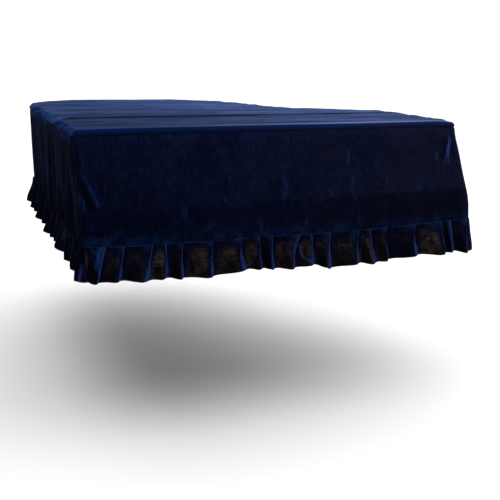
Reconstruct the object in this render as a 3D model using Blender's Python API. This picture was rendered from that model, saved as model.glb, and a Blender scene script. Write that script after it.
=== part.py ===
"""Fitted velvet cover for a grand piano: a harp-shaped top panel, a drop skirt and a knife-pleated ruffle.

Metres, +Z up. The keyboard side faces -Y, the straight bass side faces -X, the tail points to +Y.
The origin is on the underside of the top panel, where the lid carries the cover.
"""

import math

import bmesh
import bpy
import numpy as np
from mathutils import Vector
from mathutils.geometry import delaunay_2d_cdt

# ---------------------------------------------------------------- sizes (metres)
LID_WIDTH = 1.488  # bass side to treble side
CLOTH = 0.002  # velvet with its pile
SEAM_GAP = 0.0003  # between two sewn pieces
ORIGIN_X = 0.744  # of the origin, from the bass side
ORIGIN_Y = 0.700  # of the origin, from the lid's front edge
BASS_CORNER_R = 0.020  # plan radius of the two front corners
TREBLE_CORNER_R = 0.024
RIM_R = 0.014  # the top panel's roll over the lid's edge
RIM_DROP = 0.0160  # lid surface down to the seam under the roll
SEAM_DROP = 0.3470  # lid surface down to the ruffle seam
SKIRT_TUCK = 0.006  # the skirt's foot hangs this much inside the lid's edge
CHEEK_RUN = 0.42  # length of side cloth that stretches forward over the key arms

# Plan of the lid's curved edge, from the treble side round the tail to the bass side.
#   x from the bass side, y from the lid's front edge
BENT_SIDE = (
    (1.488, 0.380), (1.488, 0.460), (1.485, 0.530), (1.468, 0.594), (1.426, 0.646),
    (1.362, 0.694), (1.290, 0.746), (1.222, 0.798), (1.162, 0.850), (1.116, 0.908),
    (1.088, 0.980), (1.071, 1.060), (1.055, 1.140), (1.035, 1.226), (1.006, 1.320),
    (0.958, 1.416), (0.890, 1.504), (0.802, 1.572), (0.700, 1.620), (0.590, 1.650),
    (0.480, 1.665), (0.370, 1.668), (0.270, 1.659), (0.182, 1.636), (0.110, 1.594),
    (0.056, 1.534), (0.021, 1.456), (0.004, 1.366), (0.000, 1.276), (0.000, 1.190),
    (0.000, 1.110),
)

# How far the keyboard side stands out in front of the lid's edge.
#   drop below the lid, reach at the bass corner, reach at the treble corner
FRONT_REACH = (
    (0.000, 0.000, 0.000),
    (0.016, 0.001, 0.001),
    (0.040, 0.022, 0.015),
    (0.070, 0.058, 0.036),
    (0.110, 0.104, 0.062),
    (0.160, 0.156, 0.090),
    (0.205, 0.192, 0.117),
    (0.235, 0.207, 0.137),
    (0.265, 0.214, 0.156),
    (0.300, 0.216, 0.168),
    (0.348, 0.217, 0.174),
    (0.480, 0.220, 0.188),
)

# How far the ruffle seam sags below its drop, along the keyboard side.
#   x from the bass side, sag
SEAM_SAG = (
    (0.00, 0.000), (0.10, 0.006), (0.30, 0.009), (0.60, 0.011), (0.80, 0.014),
    (1.05, 0.014), (1.20, 0.009), (1.35, 0.004), (1.488, 0.000),
)

# Soft upright folds of the skirt. Ridges stand out (+), troughs go in (-).
#   side, place along it, height, half width, share of the height at the top, lean along the side per metre of drop
# bass, treble and front places are metres from the front corner or the bass corner; tail places are metres
# along the curved edge from the treble side's end.
SKIRT_FOLDS = (
    ("bass", 0.115, 0.0040, 0.030, 0.5, 0.06),
    ("bass", 0.175, -0.0045, 0.022, 0.4, 0.05),
    ("bass", 0.215, 0.0035, 0.022, 0.4, 0.03),
    ("bass", 0.315, -0.0100, 0.032, 0.5, 0.00),
    ("bass", 0.400, 0.0070, 0.036, 0.4, 0.00),
    ("bass", 0.500, 0.0045, 0.040, 0.4, -0.02),
    ("bass", 0.620, -0.0070, 0.034, 0.5, 0.00),
    ("bass", 0.705, 0.0050, 0.030, 0.4, 0.00),
    ("bass", 0.765, 0.0045, 0.024, 0.4, 0.02),
    ("bass", 0.825, -0.0060, 0.030, 0.4, 0.00),
    ("bass", 0.930, 0.0045, 0.034, 0.3, -0.02),
    ("bass", 1.005, -0.0050, 0.028, 0.4, 0.00),
    ("bass", 1.075, 0.0060, 0.030, 0.5, 0.00),
    ("bass", 1.170, -0.0055, 0.034, 0.4, 0.02),
    ("bass", 1.260, 0.0050, 0.036, 0.3, 0.00),
    ("bass", 1.360, -0.0050, 0.036, 0.3, 0.00),
    ("front", 0.100, 0.0030, 0.045, 0.0, 0.00),
    ("front", 0.260, -0.0028, 0.060, 0.0, 0.05),
    ("front", 0.420, 0.0040, 0.060, 0.0, 0.05),
    ("front", 0.640, -0.0030, 0.070, 0.0, 0.00),
    ("front", 0.830, 0.0032, 0.060, 0.0, 0.00),
    ("front", 1.030, -0.0030, 0.070, 0.0, -0.03),
    ("front", 1.210, 0.0034, 0.060, 0.0, 0.00),
    ("front", 1.370, -0.0026, 0.045, 0.0, 0.00),
    ("front", 1.488, -0.0130, 0.036, 0.0, 0.00),
    ("treble", 0.140, 0.0040, 0.040, 0.3, 0.00),
    ("treble", 0.260, -0.0050, 0.040, 0.3, 0.00),
    ("treble", 0.390, 0.0045, 0.045, 0.3, 0.00),
    ("tail", 0.110, -0.0040, 0.040, 0.3, 0.00),
    ("tail", 0.240, 0.0045, 0.045, 0.3, 0.00),
    ("tail", 0.370, -0.0050, 0.045, 0.3, 0.02),
    ("tail", 0.500, 0.0050, 0.040, 0.3, 0.00),
    ("tail", 0.640, -0.0055, 0.045, 0.3, 0.00),
    ("tail", 0.790, 0.0060, 0.045, 0.3, -0.02),
    ("tail", 0.930, -0.0050, 0.045, 0.3, 0.00),
    ("tail", 1.060, 0.0050, 0.040, 0.3, 0.00),
    ("tail", 1.190, -0.0050, 0.045, 0.3, 0.00),
    ("tail", 1.330, 0.0045, 0.045, 0.3, 0.02),
    ("tail", 1.480, -0.0055, 0.045, 0.3, 0.00),
    ("tail", 1.620, 0.0050, 0.045, 0.3, 0.00),
    ("tail", 1.760, -0.0045, 0.040, 0.3, 0.00),
    ("tail", 1.900, 0.0050, 0.045, 0.3, 0.00),
    ("tail", 2.040, -0.0050, 0.045, 0.3, 0.00),
    ("tail", 2.180, 0.0050, 0.045, 0.3, 0.00),
    ("tail", 2.320, -0.0045, 0.040, 0.3, 0.00),
    ("tail", 2.450, 0.0045, 0.040, 0.3, 0.00),
)

# Folded edges of the ruffle's pleats along the keyboard side, each with the panel on its bass side.
#   x at the seam, x at the hem, how far the edge stands out at the hem, hem below the seam there
FRONT_PLEATS = (
    (0.065, 0.036, 0.024, 0.117),
    (0.130, 0.108, 0.018, 0.112),
    (0.225, 0.197, 0.026, 0.119),
    (0.270, 0.266, 0.010, 0.114),
    (0.327, 0.324, 0.021, 0.118),
    (0.433, 0.428, 0.022, 0.120),
    (0.536, 0.544, 0.027, 0.108),
    (0.604, 0.610, 0.010, 0.108),
    (0.654, 0.654, 0.023, 0.112),
    (0.761, 0.731, 0.024, 0.114),
    (0.803, 0.804, 0.021, 0.103),
    (0.876, 0.872, 0.027, 0.118),
    (0.992, 0.986, 0.024, 0.110),
    (1.039, 1.055, 0.020, 0.115),
    (1.106, 1.109, 0.022, 0.109),
    (1.224, 1.229, 0.028, 0.106),
    (1.341, 1.355, 0.022, 0.113),
    (1.382, 1.390, 0.016, 0.107),
    (1.456, 1.455, 0.018, 0.117),
)
# The same along the bass side, in metres from the front corner.
BASS_PLEATS = (
    (0.030, 0.020, 0.032, 0.118),
    (0.118, 0.110, 0.024, 0.112),
    (0.205, 0.190, 0.028, 0.114),
    (0.300, 0.290, 0.044, 0.118),
    (0.385, 0.380, 0.024, 0.111),
    (0.470, 0.455, 0.030, 0.114),
    (0.560, 0.550, 0.046, 0.119),
    (0.655, 0.650, 0.024, 0.112),
    (0.745, 0.735, 0.030, 0.113),
    (0.850, 0.850, 0.046, 0.118),
    (0.940, 0.945, 0.024, 0.111),
    (1.030, 1.030, 0.032, 0.115),
    (1.120, 1.130, 0.040, 0.117),
    (1.215, 1.220, 0.024, 0.112),
    (1.300, 1.310, 0.040, 0.116),
    (1.385, 1.400, 0.026, 0.112),
)
# Round the treble side, bent side and tail the pleats repeat this uneven run.
#   pitch, lean from seam to hem, how far the edge stands out at the hem, hem below the seam there
BACK_PLEAT_RUN = (
    (0.108, 0.010, 0.024, 0.114),
    (0.094, -0.012, 0.020, 0.111),
    (0.117, 0.004, 0.028, 0.118),
    (0.058, 0.006, 0.011, 0.112),
    (0.104, -0.006, 0.026, 0.115),
    (0.112, 0.008, 0.022, 0.110),
    (0.081, -0.010, 0.019, 0.116),
)
PLEAT_AT_SEAM = 0.22  # share of a pleat's depth at the seam
PLEAT_TURN = 0.016  # width over which a pleat's edge turns back

# Low creases of the top panel, where the cloth rises off the lid.
#   from x, from y, to x, to y, height, half width in front, half width behind
TOP_CREASES = (
    (0.034, 0.462, 1.462, 0.412, 0.0042, 0.014, 0.070),
    (0.090, 0.930, 0.400, 0.900, 0.0020, 0.030, 0.060),
    (0.110, 1.270, 0.840, 1.210, 0.0022, 0.040, 0.060),
    (0.600, 0.850, 1.020, 0.830, 0.0018, 0.030, 0.060),
)

# Velvet: colour, roughness, metallic
TOP_LOOK = ((0.020, 0.032, 0.085), 0.85, 0.0)
SKIRT_LOOK = ((0.006, 0.010, 0.040), 0.85, 0.0)
RUFFLE_LOOK = ((0.008, 0.011, 0.042), 0.85, 0.0)


# ---------------------------------------------------------------- plan of the lid's edge
def smooth_through(points, steps):
    """Catmull-Rom curve through the points, ends included."""
    pts = np.array(points, float)
    ends = np.vstack([2 * pts[0] - pts[1], pts, 2 * pts[-1] - pts[-2]])
    out = []
    for i in range(1, len(ends) - 2):
        a, b, c, d = ends[i - 1 : i + 3]
        for t in np.linspace(0, 1, steps, endpoint=False):
            out.append(
                0.5 * ((2 * b) + (c - a) * t + (2 * a - 5 * b + 4 * c - d) * t**2 + (3 * b - a - 3 * c + d) * t**3)
            )
    out.append(pts[-1])
    return np.array(out)


def arc(cx, cy, r, start, end, steps):
    return np.array([(cx + r * math.cos(a), cy + r * math.sin(a)) for a in np.linspace(start, end, steps)])


def straight(a, b, steps):
    return np.linspace(a, b, steps)


class Edge:
    """The lid's edge as one closed run, anticlockwise from the bass end of the keyboard side."""

    def __init__(self):
        rb, rt, w = BASS_CORNER_R, TREBLE_CORNER_R, LID_WIDTH
        runs = [
            straight((rb, 0), (w - rt, 0), 400),
            arc(w - rt, rt, rt, -math.pi / 2, 0, 60),
            straight((w, rt), BENT_SIDE[0], 120),
            smooth_through(BENT_SIDE, 24),
            straight(BENT_SIDE[-1], (0, rb), 300),
            arc(rb, rb, rb, math.pi, 1.5 * math.pi, 60),
        ]
        pts = np.vstack([r[:-1] for r in runs])
        steps = np.linalg.norm(np.diff(np.vstack([pts, pts[:1]]), axis=0), axis=1)
        self.pts = pts
        self.at = np.concatenate([[0], np.cumsum(steps)])
        self.length = self.at[-1]
        lengths = [np.linalg.norm(np.diff(r, axis=0), axis=1).sum() for r in runs]
        self.starts = np.concatenate([[0], np.cumsum(lengths)])

    def place(self, s):
        s = np.mod(s, self.length)
        closed = np.vstack([self.pts, self.pts[:1]])
        return np.stack([np.interp(s, self.at, closed[:, i]) for i in (0, 1)], axis=-1)

    def outward(self, s, span=0.006):
        d = self.place(np.asarray(s) + span) - self.place(np.asarray(s) - span)
        d /= np.linalg.norm(d, axis=-1, keepdims=True)
        return np.stack([d[..., 1], -d[..., 0]], axis=-1)

    def on(self, side, where):
        """Run length at a place given along one side."""
        if side == "front":
            return where - BASS_CORNER_R
        if side == "treble":
            return self.starts[2] + where - TREBLE_CORNER_R
        if side == "tail":
            return self.starts[3] + where
        return self.starts[5] - (where - BASS_CORNER_R)


EDGE = Edge()


def smoothstep(t):
    t = np.clip(t, 0, 1)
    return t * t * (3 - 2 * t)


def table(rows, column, x):
    return np.interp(x, [r[0] for r in rows], [r[column] for r in rows])


def front_shift(x, y, drop):
    """How far a point of the edge moves forward at this drop: all of the reach in front, none further back."""
    bass, treble = table(FRONT_REACH, 1, drop), table(FRONT_REACH, 2, drop)
    reach = bass + (treble - bass) * smoothstep(x / LID_WIDTH)
    return reach * (1 - smoothstep((y - BASS_CORNER_R) / CHEEK_RUN))


def section(s, drop):
    """Plan points and outward directions of the smooth body of the cover at a drop, before folds."""
    span = 0.004

    def base(at):
        p = EDGE.place(at)
        return p - np.stack([np.zeros_like(p[..., 0]), front_shift(p[..., 0], p[..., 1], drop)], axis=-1)

    d = base(s + span) - base(s - span)
    d /= np.linalg.norm(d, axis=-1, keepdims=True)
    return base(s), np.stack([d[..., 1], -d[..., 0]], axis=-1)


def run_distance(s, at):
    """Signed distance along the closed edge."""
    return (s - at + EDGE.length / 2) % EDGE.length - EDGE.length / 2


def skirt_relief(s, drop):
    """Height of the skirt's folds off its smooth body."""
    depth = np.clip((drop - RIM_DROP) / (SEAM_DROP - RIM_DROP), 0, 1)
    out = np.zeros_like(s)
    for side, where, height, half, top, lean in SKIRT_FOLDS:
        at = EDGE.on(side, where) - lean * (drop - RIM_DROP) * (1 if side == "bass" else -1)
        grow = top + (1 - top) * smoothstep(depth)
        out = out + height * grow * np.exp(-((run_distance(s, at) / half) ** 2))
    tuck = SKIRT_TUCK * depth * smoothstep((EDGE.place(s)[..., 1] - 0.10) / 0.40)
    return out * smoothstep((drop - RIM_DROP + 0.004) / 0.03) - tuck


def pleats():
    """Every pleat edge as (run length at the seam, at the hem, stand-out, hem depth), in order round the cover."""
    rows = [(EDGE.on("front", a), EDGE.on("front", b), high, deep) for a, b, high, deep in FRONT_PLEATS]
    at, end, i = EDGE.on("front", LID_WIDTH) + 0.035, EDGE.on("bass", 1.45), 0
    while at < end:
        pitch, lean, high, deep = BACK_PLEAT_RUN[i % len(BACK_PLEAT_RUN)]
        rows.append((at, at + lean, high, deep))
        at, i = at + pitch, i + 1
    rows += [(EDGE.on("bass", a), EDGE.on("bass", b), high, deep) for a, b, high, deep in reversed(BASS_PLEATS)]
    return rows


PLEATS = pleats()


def ruffle_place(i, f, down):
    """Run length, stand-out and depth below the seam at fraction f across the panel that ends at pleat edge i."""
    a, b = PLEATS[i - 1], PLEATS[i]
    wrap = EDGE.length if i == 0 else 0.0
    lo = a[0] + (a[1] - a[0]) * down - wrap
    hi = b[0] + (b[1] - b[0]) * down
    width = hi - lo
    turn = min(PLEAT_TURN, 0.3 * width)
    s = lo + turn * 0.5 + (width - turn * 0.5) * f
    grow = PLEAT_AT_SEAM + (1 - PLEAT_AT_SEAM) * float(smoothstep(down * 0.9 + 0.1 * (down > 0)))
    low = -0.35 * (a[2] + b[2]) / 2
    rise = low + (b[2] - low) * (1 - math.cos(math.pi * f)) / 2
    return s, rise * grow, (a[3] + (b[3] - a[3]) * f) * down


# ---------------------------------------------------------------- meshes
def to_world(x, y, z):
    return (x - ORIGIN_X, y - ORIGIN_Y, z)


def shell_object(name, outer, look):
    """A closed band of cloth: outer is rows x columns x 3, closed along the columns, and gets the cloth's thickness inside."""
    rows, cols = outer.shape[:2]
    along = np.roll(outer, -1, axis=1) - np.roll(outer, 1, axis=1)
    down = np.empty_like(outer)
    down[1:-1] = outer[2:] - outer[:-2]
    down[0], down[-1] = outer[1] - outer[0], outer[-1] - outer[-2]
    normal = np.cross(down, along)
    normal /= np.linalg.norm(normal, axis=-1, keepdims=True)
    for end in (0, -1):  # the two cut edges stay level
        flat = normal[end].copy()
        flat[:, 2] = 0
        normal[end] = flat / np.linalg.norm(flat, axis=-1, keepdims=True)
    inner = outer - CLOTH * normal
    mesh = bpy.data.meshes.new(name)
    verts = np.vstack([outer.reshape(-1, 3), inner.reshape(-1, 3)])
    n = rows * cols
    faces = []
    for r in range(rows - 1):
        for c in range(cols):
            d = (c + 1) % cols
            p, q, u, v = r * cols + c, r * cols + d, (r + 1) * cols + c, (r + 1) * cols + d
            faces.append((p, u, v, q))
            faces.append((n + p, n + q, n + v, n + u))
    for c in range(cols):
        d = (c + 1) % cols
        faces.append((c, d, n + d, n + c))
        e = (rows - 1) * cols
        faces.append((e + c, n + e + c, n + e + d, e + d))
    mesh.from_pydata([tuple(v) for v in verts], [], faces)
    return finish_object(name, mesh, look)


def finish_object(name, mesh, look):
    work = bmesh.new()
    work.from_mesh(mesh)
    bmesh.ops.recalc_face_normals(work, faces=work.faces)
    bmesh.ops.triangulate(work, faces=work.faces)
    work.to_mesh(mesh)
    work.free()
    mesh.shade_smooth()
    mesh.set_sharp_from_angle(angle=math.radians(50))
    obj = bpy.data.objects.new(name, mesh)
    bpy.context.scene.collection.objects.link(obj)
    colour, rough, metal = look
    material = bpy.data.materials.new(name + "_velvet")
    material.use_nodes = True
    shader = material.node_tree.nodes["Principled BSDF"]
    shader.inputs["Base Color"].default_value = (*colour, 1)
    shader.inputs["Roughness"].default_value = rough
    shader.inputs["Metallic"].default_value = metal
    material.diffuse_color = (*colour, 1)
    mesh.materials.append(material)
    return obj


def zoned(zones):
    """Run lengths at each zone's own spacing, round the closed edge."""
    out = []
    for start, end, step in zones:
        out += list(np.linspace(start, end, max(1, round((end - start) / step)), endpoint=False))
    return np.array(out)


def top_height(x, y):
    """How far the top panel's cloth stands off the lid."""
    out = np.zeros_like(x)
    for ax, ay, bx, by, high, before, behind in TOP_CREASES:
        length = math.hypot(bx - ax, by - ay)
        tx, ty = (bx - ax) / length, (by - ay) / length
        along = (x - ax) * tx + (y - ay) * ty
        off = -(x - ax) * ty + (y - ay) * tx
        width = np.where(off < 0, before, behind)
        ends = smoothstep(along / 0.06 + 0.2) * smoothstep((length - along) / 0.06 + 0.2)
        out = out + high * ends * np.exp(-((off / width) ** 2))
    return out


def top_panel():
    """Flat harp-shaped panel with its creases, rolled down over the lid's rim."""
    bass, treble, back = 0.030, 0.035, 0.048
    s = zoned((
        (0, EDGE.starts[1], 0.080),
        (EDGE.starts[1], EDGE.starts[2], 0.020),
        (EDGE.starts[2], EDGE.starts[3], treble * 2),
        (EDGE.starts[3], EDGE.starts[4], back),
        (EDGE.starts[4], EDGE.starts[5], bass * 2.4),
        (EDGE.starts[5], EDGE.length, 0.012),
    ))
    edge, out = EDGE.place(s), EDGE.outward(s)
    n = len(s)
    turns = (0.0, 32.0, 62.0, 90.0)
    rings_out, rings_in = [], []
    for deg in turns:
        a = math.radians(deg)
        for rings, r in ((rings_out, RIM_R), (rings_in, RIM_R - CLOTH)):
            plan = edge - out * (RIM_R - r * math.sin(a))
            z = CLOTH - RIM_R + r * math.cos(a)
            rings.append(np.column_stack([plan, np.full(n, z)]))
    for rings, r in ((rings_out, RIM_R), (rings_in, RIM_R - CLOTH)):
        plan = edge - out * (RIM_R - r)
        rings.append(np.column_stack([plan, np.full(n, -RIM_DROP)]))
    ring = rings_out[0][:, :2]
    extra = []
    for ax, ay, bx, by, high, before, behind in TOP_CREASES:
        length = math.hypot(bx - ax, by - ay)
        tx, ty = (bx - ax) / length, (by - ay) / length
        for t in np.linspace(0.02, 0.98, max(3, round(length / 0.11))):
            for off in (-before, 0.0, behind * 0.6, behind * 1.4):
                extra.append((ax + (bx - ax) * t - ty * off, ay + (by - ay) * t + tx * off))
    for x in np.arange(0.12, 1.45, 0.16):
        for y in np.arange(0.12, 1.75, 0.18):
            extra.append((x + 0.04 * math.sin(9 * y), y))
    inside = []
    for p in extra:
        gap = np.linalg.norm(ring - np.array(p), axis=1).min()
        if gap > 0.025 and point_in(ring, p) and all(math.dist(p, q) > 0.022 for q in inside):
            inside.append(p)
    verts2 = [Vector(v) for v in ring] + [Vector(v) for v in inside]
    fill = delaunay_2d_cdt(verts2, [], [list(range(n))], 1, 1e-7)
    flat, tris, source = fill[0], fill[2], fill[3]
    assert len(flat) == len(verts2)
    order = [source[i][0] for i in range(len(flat))]
    plan = np.array([(v.x, v.y) for v in verts2])
    lift = top_height(plan[:, 0], plan[:, 1])
    lift[:n] = 0
    count = len(plan)
    verts = [np.column_stack([plan, CLOTH + lift]), np.column_stack([plan, lift])]
    faces = []
    for tri in tris:
        a, b, c = (order[i] for i in tri)
        faces.append((a, b, c))
        faces.append((count + a, count + c, count + b))
    base = 2 * count
    for k in range(1, len(rings_out)):
        verts += [rings_out[k], rings_in[k]]
    def ring_index(k, inner, c):
        c %= n
        if k == 0:
            return count * inner + c
        return base + ((k - 1) * 2 + inner) * n + c
    for k in range(len(rings_out) - 1):
        for c in range(n):
            faces.append((ring_index(k, 0, c), ring_index(k + 1, 0, c), ring_index(k + 1, 0, c + 1), ring_index(k, 0, c + 1)))
            faces.append((ring_index(k, 1, c), ring_index(k, 1, c + 1), ring_index(k + 1, 1, c + 1), ring_index(k + 1, 1, c)))
    k = len(rings_out) - 1
    for c in range(n):
        faces.append((ring_index(k, 0, c), ring_index(k, 1, c), ring_index(k, 1, c + 1), ring_index(k, 0, c + 1)))
    mesh = bpy.data.meshes.new("top_panel")
    points = np.vstack(verts)
    mesh.from_pydata([to_world(*v) for v in points], [], faces)
    return finish_object("top_panel", mesh, TOP_LOOK)


def point_in(ring, p):
    x, y = p
    a, b = ring, np.roll(ring, -1, axis=0)
    cross = (a[:, 1] > y) != (b[:, 1] > y)
    at = a[:, 0] + (y - a[:, 1]) / np.where(cross, b[:, 1] - a[:, 1], 1) * (b[:, 0] - a[:, 0])
    return bool((cross & (x < at)).sum() % 2)


def seam_sag(x, y):
    """Sag of the ruffle seam, on the keyboard side only."""
    return table(SEAM_SAG, 1, x) * (1 - smoothstep(y / 0.05))


def drop_skirt():
    s = zoned((
        (0, EDGE.starts[1], 0.060),
        (EDGE.starts[1], EDGE.starts[2], 0.018),
        (EDGE.starts[2], EDGE.starts[3], 0.046),
        (EDGE.starts[3], EDGE.starts[4], 0.046),
        (EDGE.starts[4], EDGE.starts[5], 0.030),
        (EDGE.starts[5], EDGE.length, 0.012),
    ))
    edge = EDGE.place(s)
    rows = []
    for share in (0.0, 0.18, 0.45, 0.66, 0.80, 1.0):
        foot = SEAM_DROP + seam_sag(edge[:, 0], edge[:, 1])
        top = RIM_DROP + SEAM_GAP
        drop = top + (foot - top) * share
        plan, out = [], []
        for i, at in enumerate(s):
            p, o = section(np.array([at]), drop[i])
            plan.append(p[0])
            out.append(o[0])
        plan, out = np.array(plan), np.array(out)
        relief = np.array([skirt_relief(np.array([at]), drop[i])[0] for i, at in enumerate(s)])
        plan = plan + out * relief[:, None]
        rows.append(np.column_stack([plan[:, 0] - ORIGIN_X, plan[:, 1] - ORIGIN_Y, -drop]))
    return shell_object("drop_skirt", np.array(rows), SKIRT_LOOK)


def pleat_ruffle():
    rows = []
    for down in (0.0, 0.45, 1.0):
        row = []
        for i in range(len(PLEATS)):
            for f in (0.0, 0.40, 0.78, 1.0):
                s, stand, deep = ruffle_place(i, f, down)
                s = np.array([s])
                edge = EDGE.place(s)
                drop = SEAM_DROP + seam_sag(edge[:, 0], edge[:, 1])[0] + SEAM_GAP + deep
                plan, out = section(s, drop)
                body = skirt_relief(s, np.array(SEAM_DROP))[0] * (1 - 0.6 * down)
                p = plan[0] + out[0] * (stand + body)
                row.append((p[0] - ORIGIN_X, p[1] - ORIGIN_Y, -drop))
        rows.append(row)
    return shell_object("pleat_ruffle", np.array(rows), RUFFLE_LOOK)


for obj in list(bpy.data.objects):
    bpy.data.objects.remove(obj, do_unlink=True)
top_panel()
drop_skirt()
pleat_ruffle()
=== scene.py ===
"""Looks of the fitted velvet grand piano cover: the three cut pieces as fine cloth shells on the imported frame."""

import math

import bpy
import numpy as np
from mathutils import Euler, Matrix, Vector


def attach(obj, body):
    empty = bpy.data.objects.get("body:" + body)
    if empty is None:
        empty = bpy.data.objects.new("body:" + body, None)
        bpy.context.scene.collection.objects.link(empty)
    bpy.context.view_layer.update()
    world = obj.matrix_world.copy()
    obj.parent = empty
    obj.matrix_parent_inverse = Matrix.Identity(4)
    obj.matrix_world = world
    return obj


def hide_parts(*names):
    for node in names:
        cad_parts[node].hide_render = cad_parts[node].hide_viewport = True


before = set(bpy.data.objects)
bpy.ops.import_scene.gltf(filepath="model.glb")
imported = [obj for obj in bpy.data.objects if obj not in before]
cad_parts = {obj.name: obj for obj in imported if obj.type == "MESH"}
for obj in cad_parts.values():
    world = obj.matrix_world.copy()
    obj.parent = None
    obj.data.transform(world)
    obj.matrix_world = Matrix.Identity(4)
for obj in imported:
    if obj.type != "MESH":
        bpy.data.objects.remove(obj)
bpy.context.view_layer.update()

# ================================================================ sizes shared with the solids (metres)
LID_WIDTH = 1.488
CLOTH = 0.002
SEAM_GAP = 0.0003
ORIGIN_X, ORIGIN_Y = 0.744, 0.700
BASS_CORNER_R, TREBLE_CORNER_R = 0.020, 0.024
RIM_R, RIM_DROP = 0.014, 0.0160
SEAM_DROP = 0.3470
SKIRT_TUCK = 0.006
CHEEK_RUN = 0.42
PLEAT_AT_SEAM = 0.22
FLOOR_Z = -1.0135

# Plan of the lid's curved edge, from the treble side round the tail to the bass side: x, y
BENT_SIDE = (
    (1.488, 0.380), (1.488, 0.460), (1.485, 0.530), (1.468, 0.594), (1.426, 0.646),
    (1.362, 0.694), (1.290, 0.746), (1.222, 0.798), (1.162, 0.850), (1.116, 0.908),
    (1.088, 0.980), (1.071, 1.060), (1.055, 1.140), (1.035, 1.226), (1.006, 1.320),
    (0.958, 1.416), (0.890, 1.504), (0.802, 1.572), (0.700, 1.620), (0.590, 1.650),
    (0.480, 1.665), (0.370, 1.668), (0.270, 1.659), (0.182, 1.636), (0.110, 1.594),
    (0.056, 1.534), (0.021, 1.456), (0.004, 1.366), (0.000, 1.276), (0.000, 1.190),
    (0.000, 1.110),
)

# Keyboard side, standing out in front of the lid's edge: drop, reach at the bass corner, reach at the treble corner
FRONT_REACH = (
    (0.000, 0.000, 0.000),
    (0.016, 0.001, 0.001),
    (0.040, 0.022, 0.015),
    (0.070, 0.058, 0.036),
    (0.110, 0.104, 0.062),
    (0.160, 0.156, 0.090),
    (0.205, 0.192, 0.117),
    (0.235, 0.207, 0.137),
    (0.265, 0.214, 0.156),
    (0.300, 0.216, 0.168),
    (0.348, 0.217, 0.174),
    (0.480, 0.220, 0.188),
)

# Sag of the ruffle seam along the keyboard side: x, sag
SEAM_SAG = (
    (0.00, 0.000), (0.10, 0.006), (0.30, 0.009), (0.60, 0.011), (0.80, 0.014),
    (1.05, 0.014), (1.20, 0.009), (1.35, 0.004), (1.488, 0.000),
)

# Soft upright folds of the skirt: side, place, height, half width, share at the top, lean
SKIRT_FOLDS = (
    ("bass", 0.115, 0.0040, 0.030, 0.5, 0.06),
    ("bass", 0.175, -0.0045, 0.022, 0.4, 0.05),
    ("bass", 0.215, 0.0035, 0.022, 0.4, 0.03),
    ("bass", 0.315, -0.0100, 0.032, 0.5, 0.00),
    ("bass", 0.400, 0.0070, 0.036, 0.4, 0.00),
    ("bass", 0.500, 0.0045, 0.040, 0.4, -0.02),
    ("bass", 0.620, -0.0070, 0.034, 0.5, 0.00),
    ("bass", 0.705, 0.0050, 0.030, 0.4, 0.00),
    ("bass", 0.765, 0.0045, 0.024, 0.4, 0.02),
    ("bass", 0.825, -0.0060, 0.030, 0.4, 0.00),
    ("bass", 0.930, 0.0045, 0.034, 0.3, -0.02),
    ("bass", 1.005, -0.0050, 0.028, 0.4, 0.00),
    ("bass", 1.075, 0.0060, 0.030, 0.5, 0.00),
    ("bass", 1.170, -0.0055, 0.034, 0.4, 0.02),
    ("bass", 1.260, 0.0050, 0.036, 0.3, 0.00),
    ("bass", 1.360, -0.0050, 0.036, 0.3, 0.00),
    ("front", 0.100, 0.0030, 0.045, 0.0, 0.00),
    ("front", 0.260, -0.0028, 0.060, 0.0, 0.05),
    ("front", 0.420, 0.0040, 0.060, 0.0, 0.05),
    ("front", 0.640, -0.0030, 0.070, 0.0, 0.00),
    ("front", 0.830, 0.0032, 0.060, 0.0, 0.00),
    ("front", 1.030, -0.0030, 0.070, 0.0, -0.03),
    ("front", 1.210, 0.0034, 0.060, 0.0, 0.00),
    ("front", 1.370, -0.0026, 0.045, 0.0, 0.00),
    ("front", 1.488, -0.0130, 0.036, 0.0, 0.00),
    ("treble", 0.140, 0.0040, 0.040, 0.3, 0.00),
    ("treble", 0.260, -0.0050, 0.040, 0.3, 0.00),
    ("treble", 0.390, 0.0045, 0.045, 0.3, 0.00),
    ("tail", 0.110, -0.0040, 0.040, 0.3, 0.00),
    ("tail", 0.240, 0.0045, 0.045, 0.3, 0.00),
    ("tail", 0.370, -0.0050, 0.045, 0.3, 0.02),
    ("tail", 0.500, 0.0050, 0.040, 0.3, 0.00),
    ("tail", 0.640, -0.0055, 0.045, 0.3, 0.00),
    ("tail", 0.790, 0.0060, 0.045, 0.3, -0.02),
    ("tail", 0.930, -0.0050, 0.045, 0.3, 0.00),
    ("tail", 1.060, 0.0050, 0.040, 0.3, 0.00),
    ("tail", 1.190, -0.0050, 0.045, 0.3, 0.00),
    ("tail", 1.330, 0.0045, 0.045, 0.3, 0.02),
    ("tail", 1.480, -0.0055, 0.045, 0.3, 0.00),
    ("tail", 1.620, 0.0050, 0.045, 0.3, 0.00),
    ("tail", 1.760, -0.0045, 0.040, 0.3, 0.00),
    ("tail", 1.900, 0.0050, 0.045, 0.3, 0.00),
    ("tail", 2.040, -0.0050, 0.045, 0.3, 0.00),
    ("tail", 2.180, 0.0050, 0.045, 0.3, 0.00),
    ("tail", 2.320, -0.0045, 0.040, 0.3, 0.00),
    ("tail", 2.450, 0.0045, 0.040, 0.3, 0.00),
)

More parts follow.
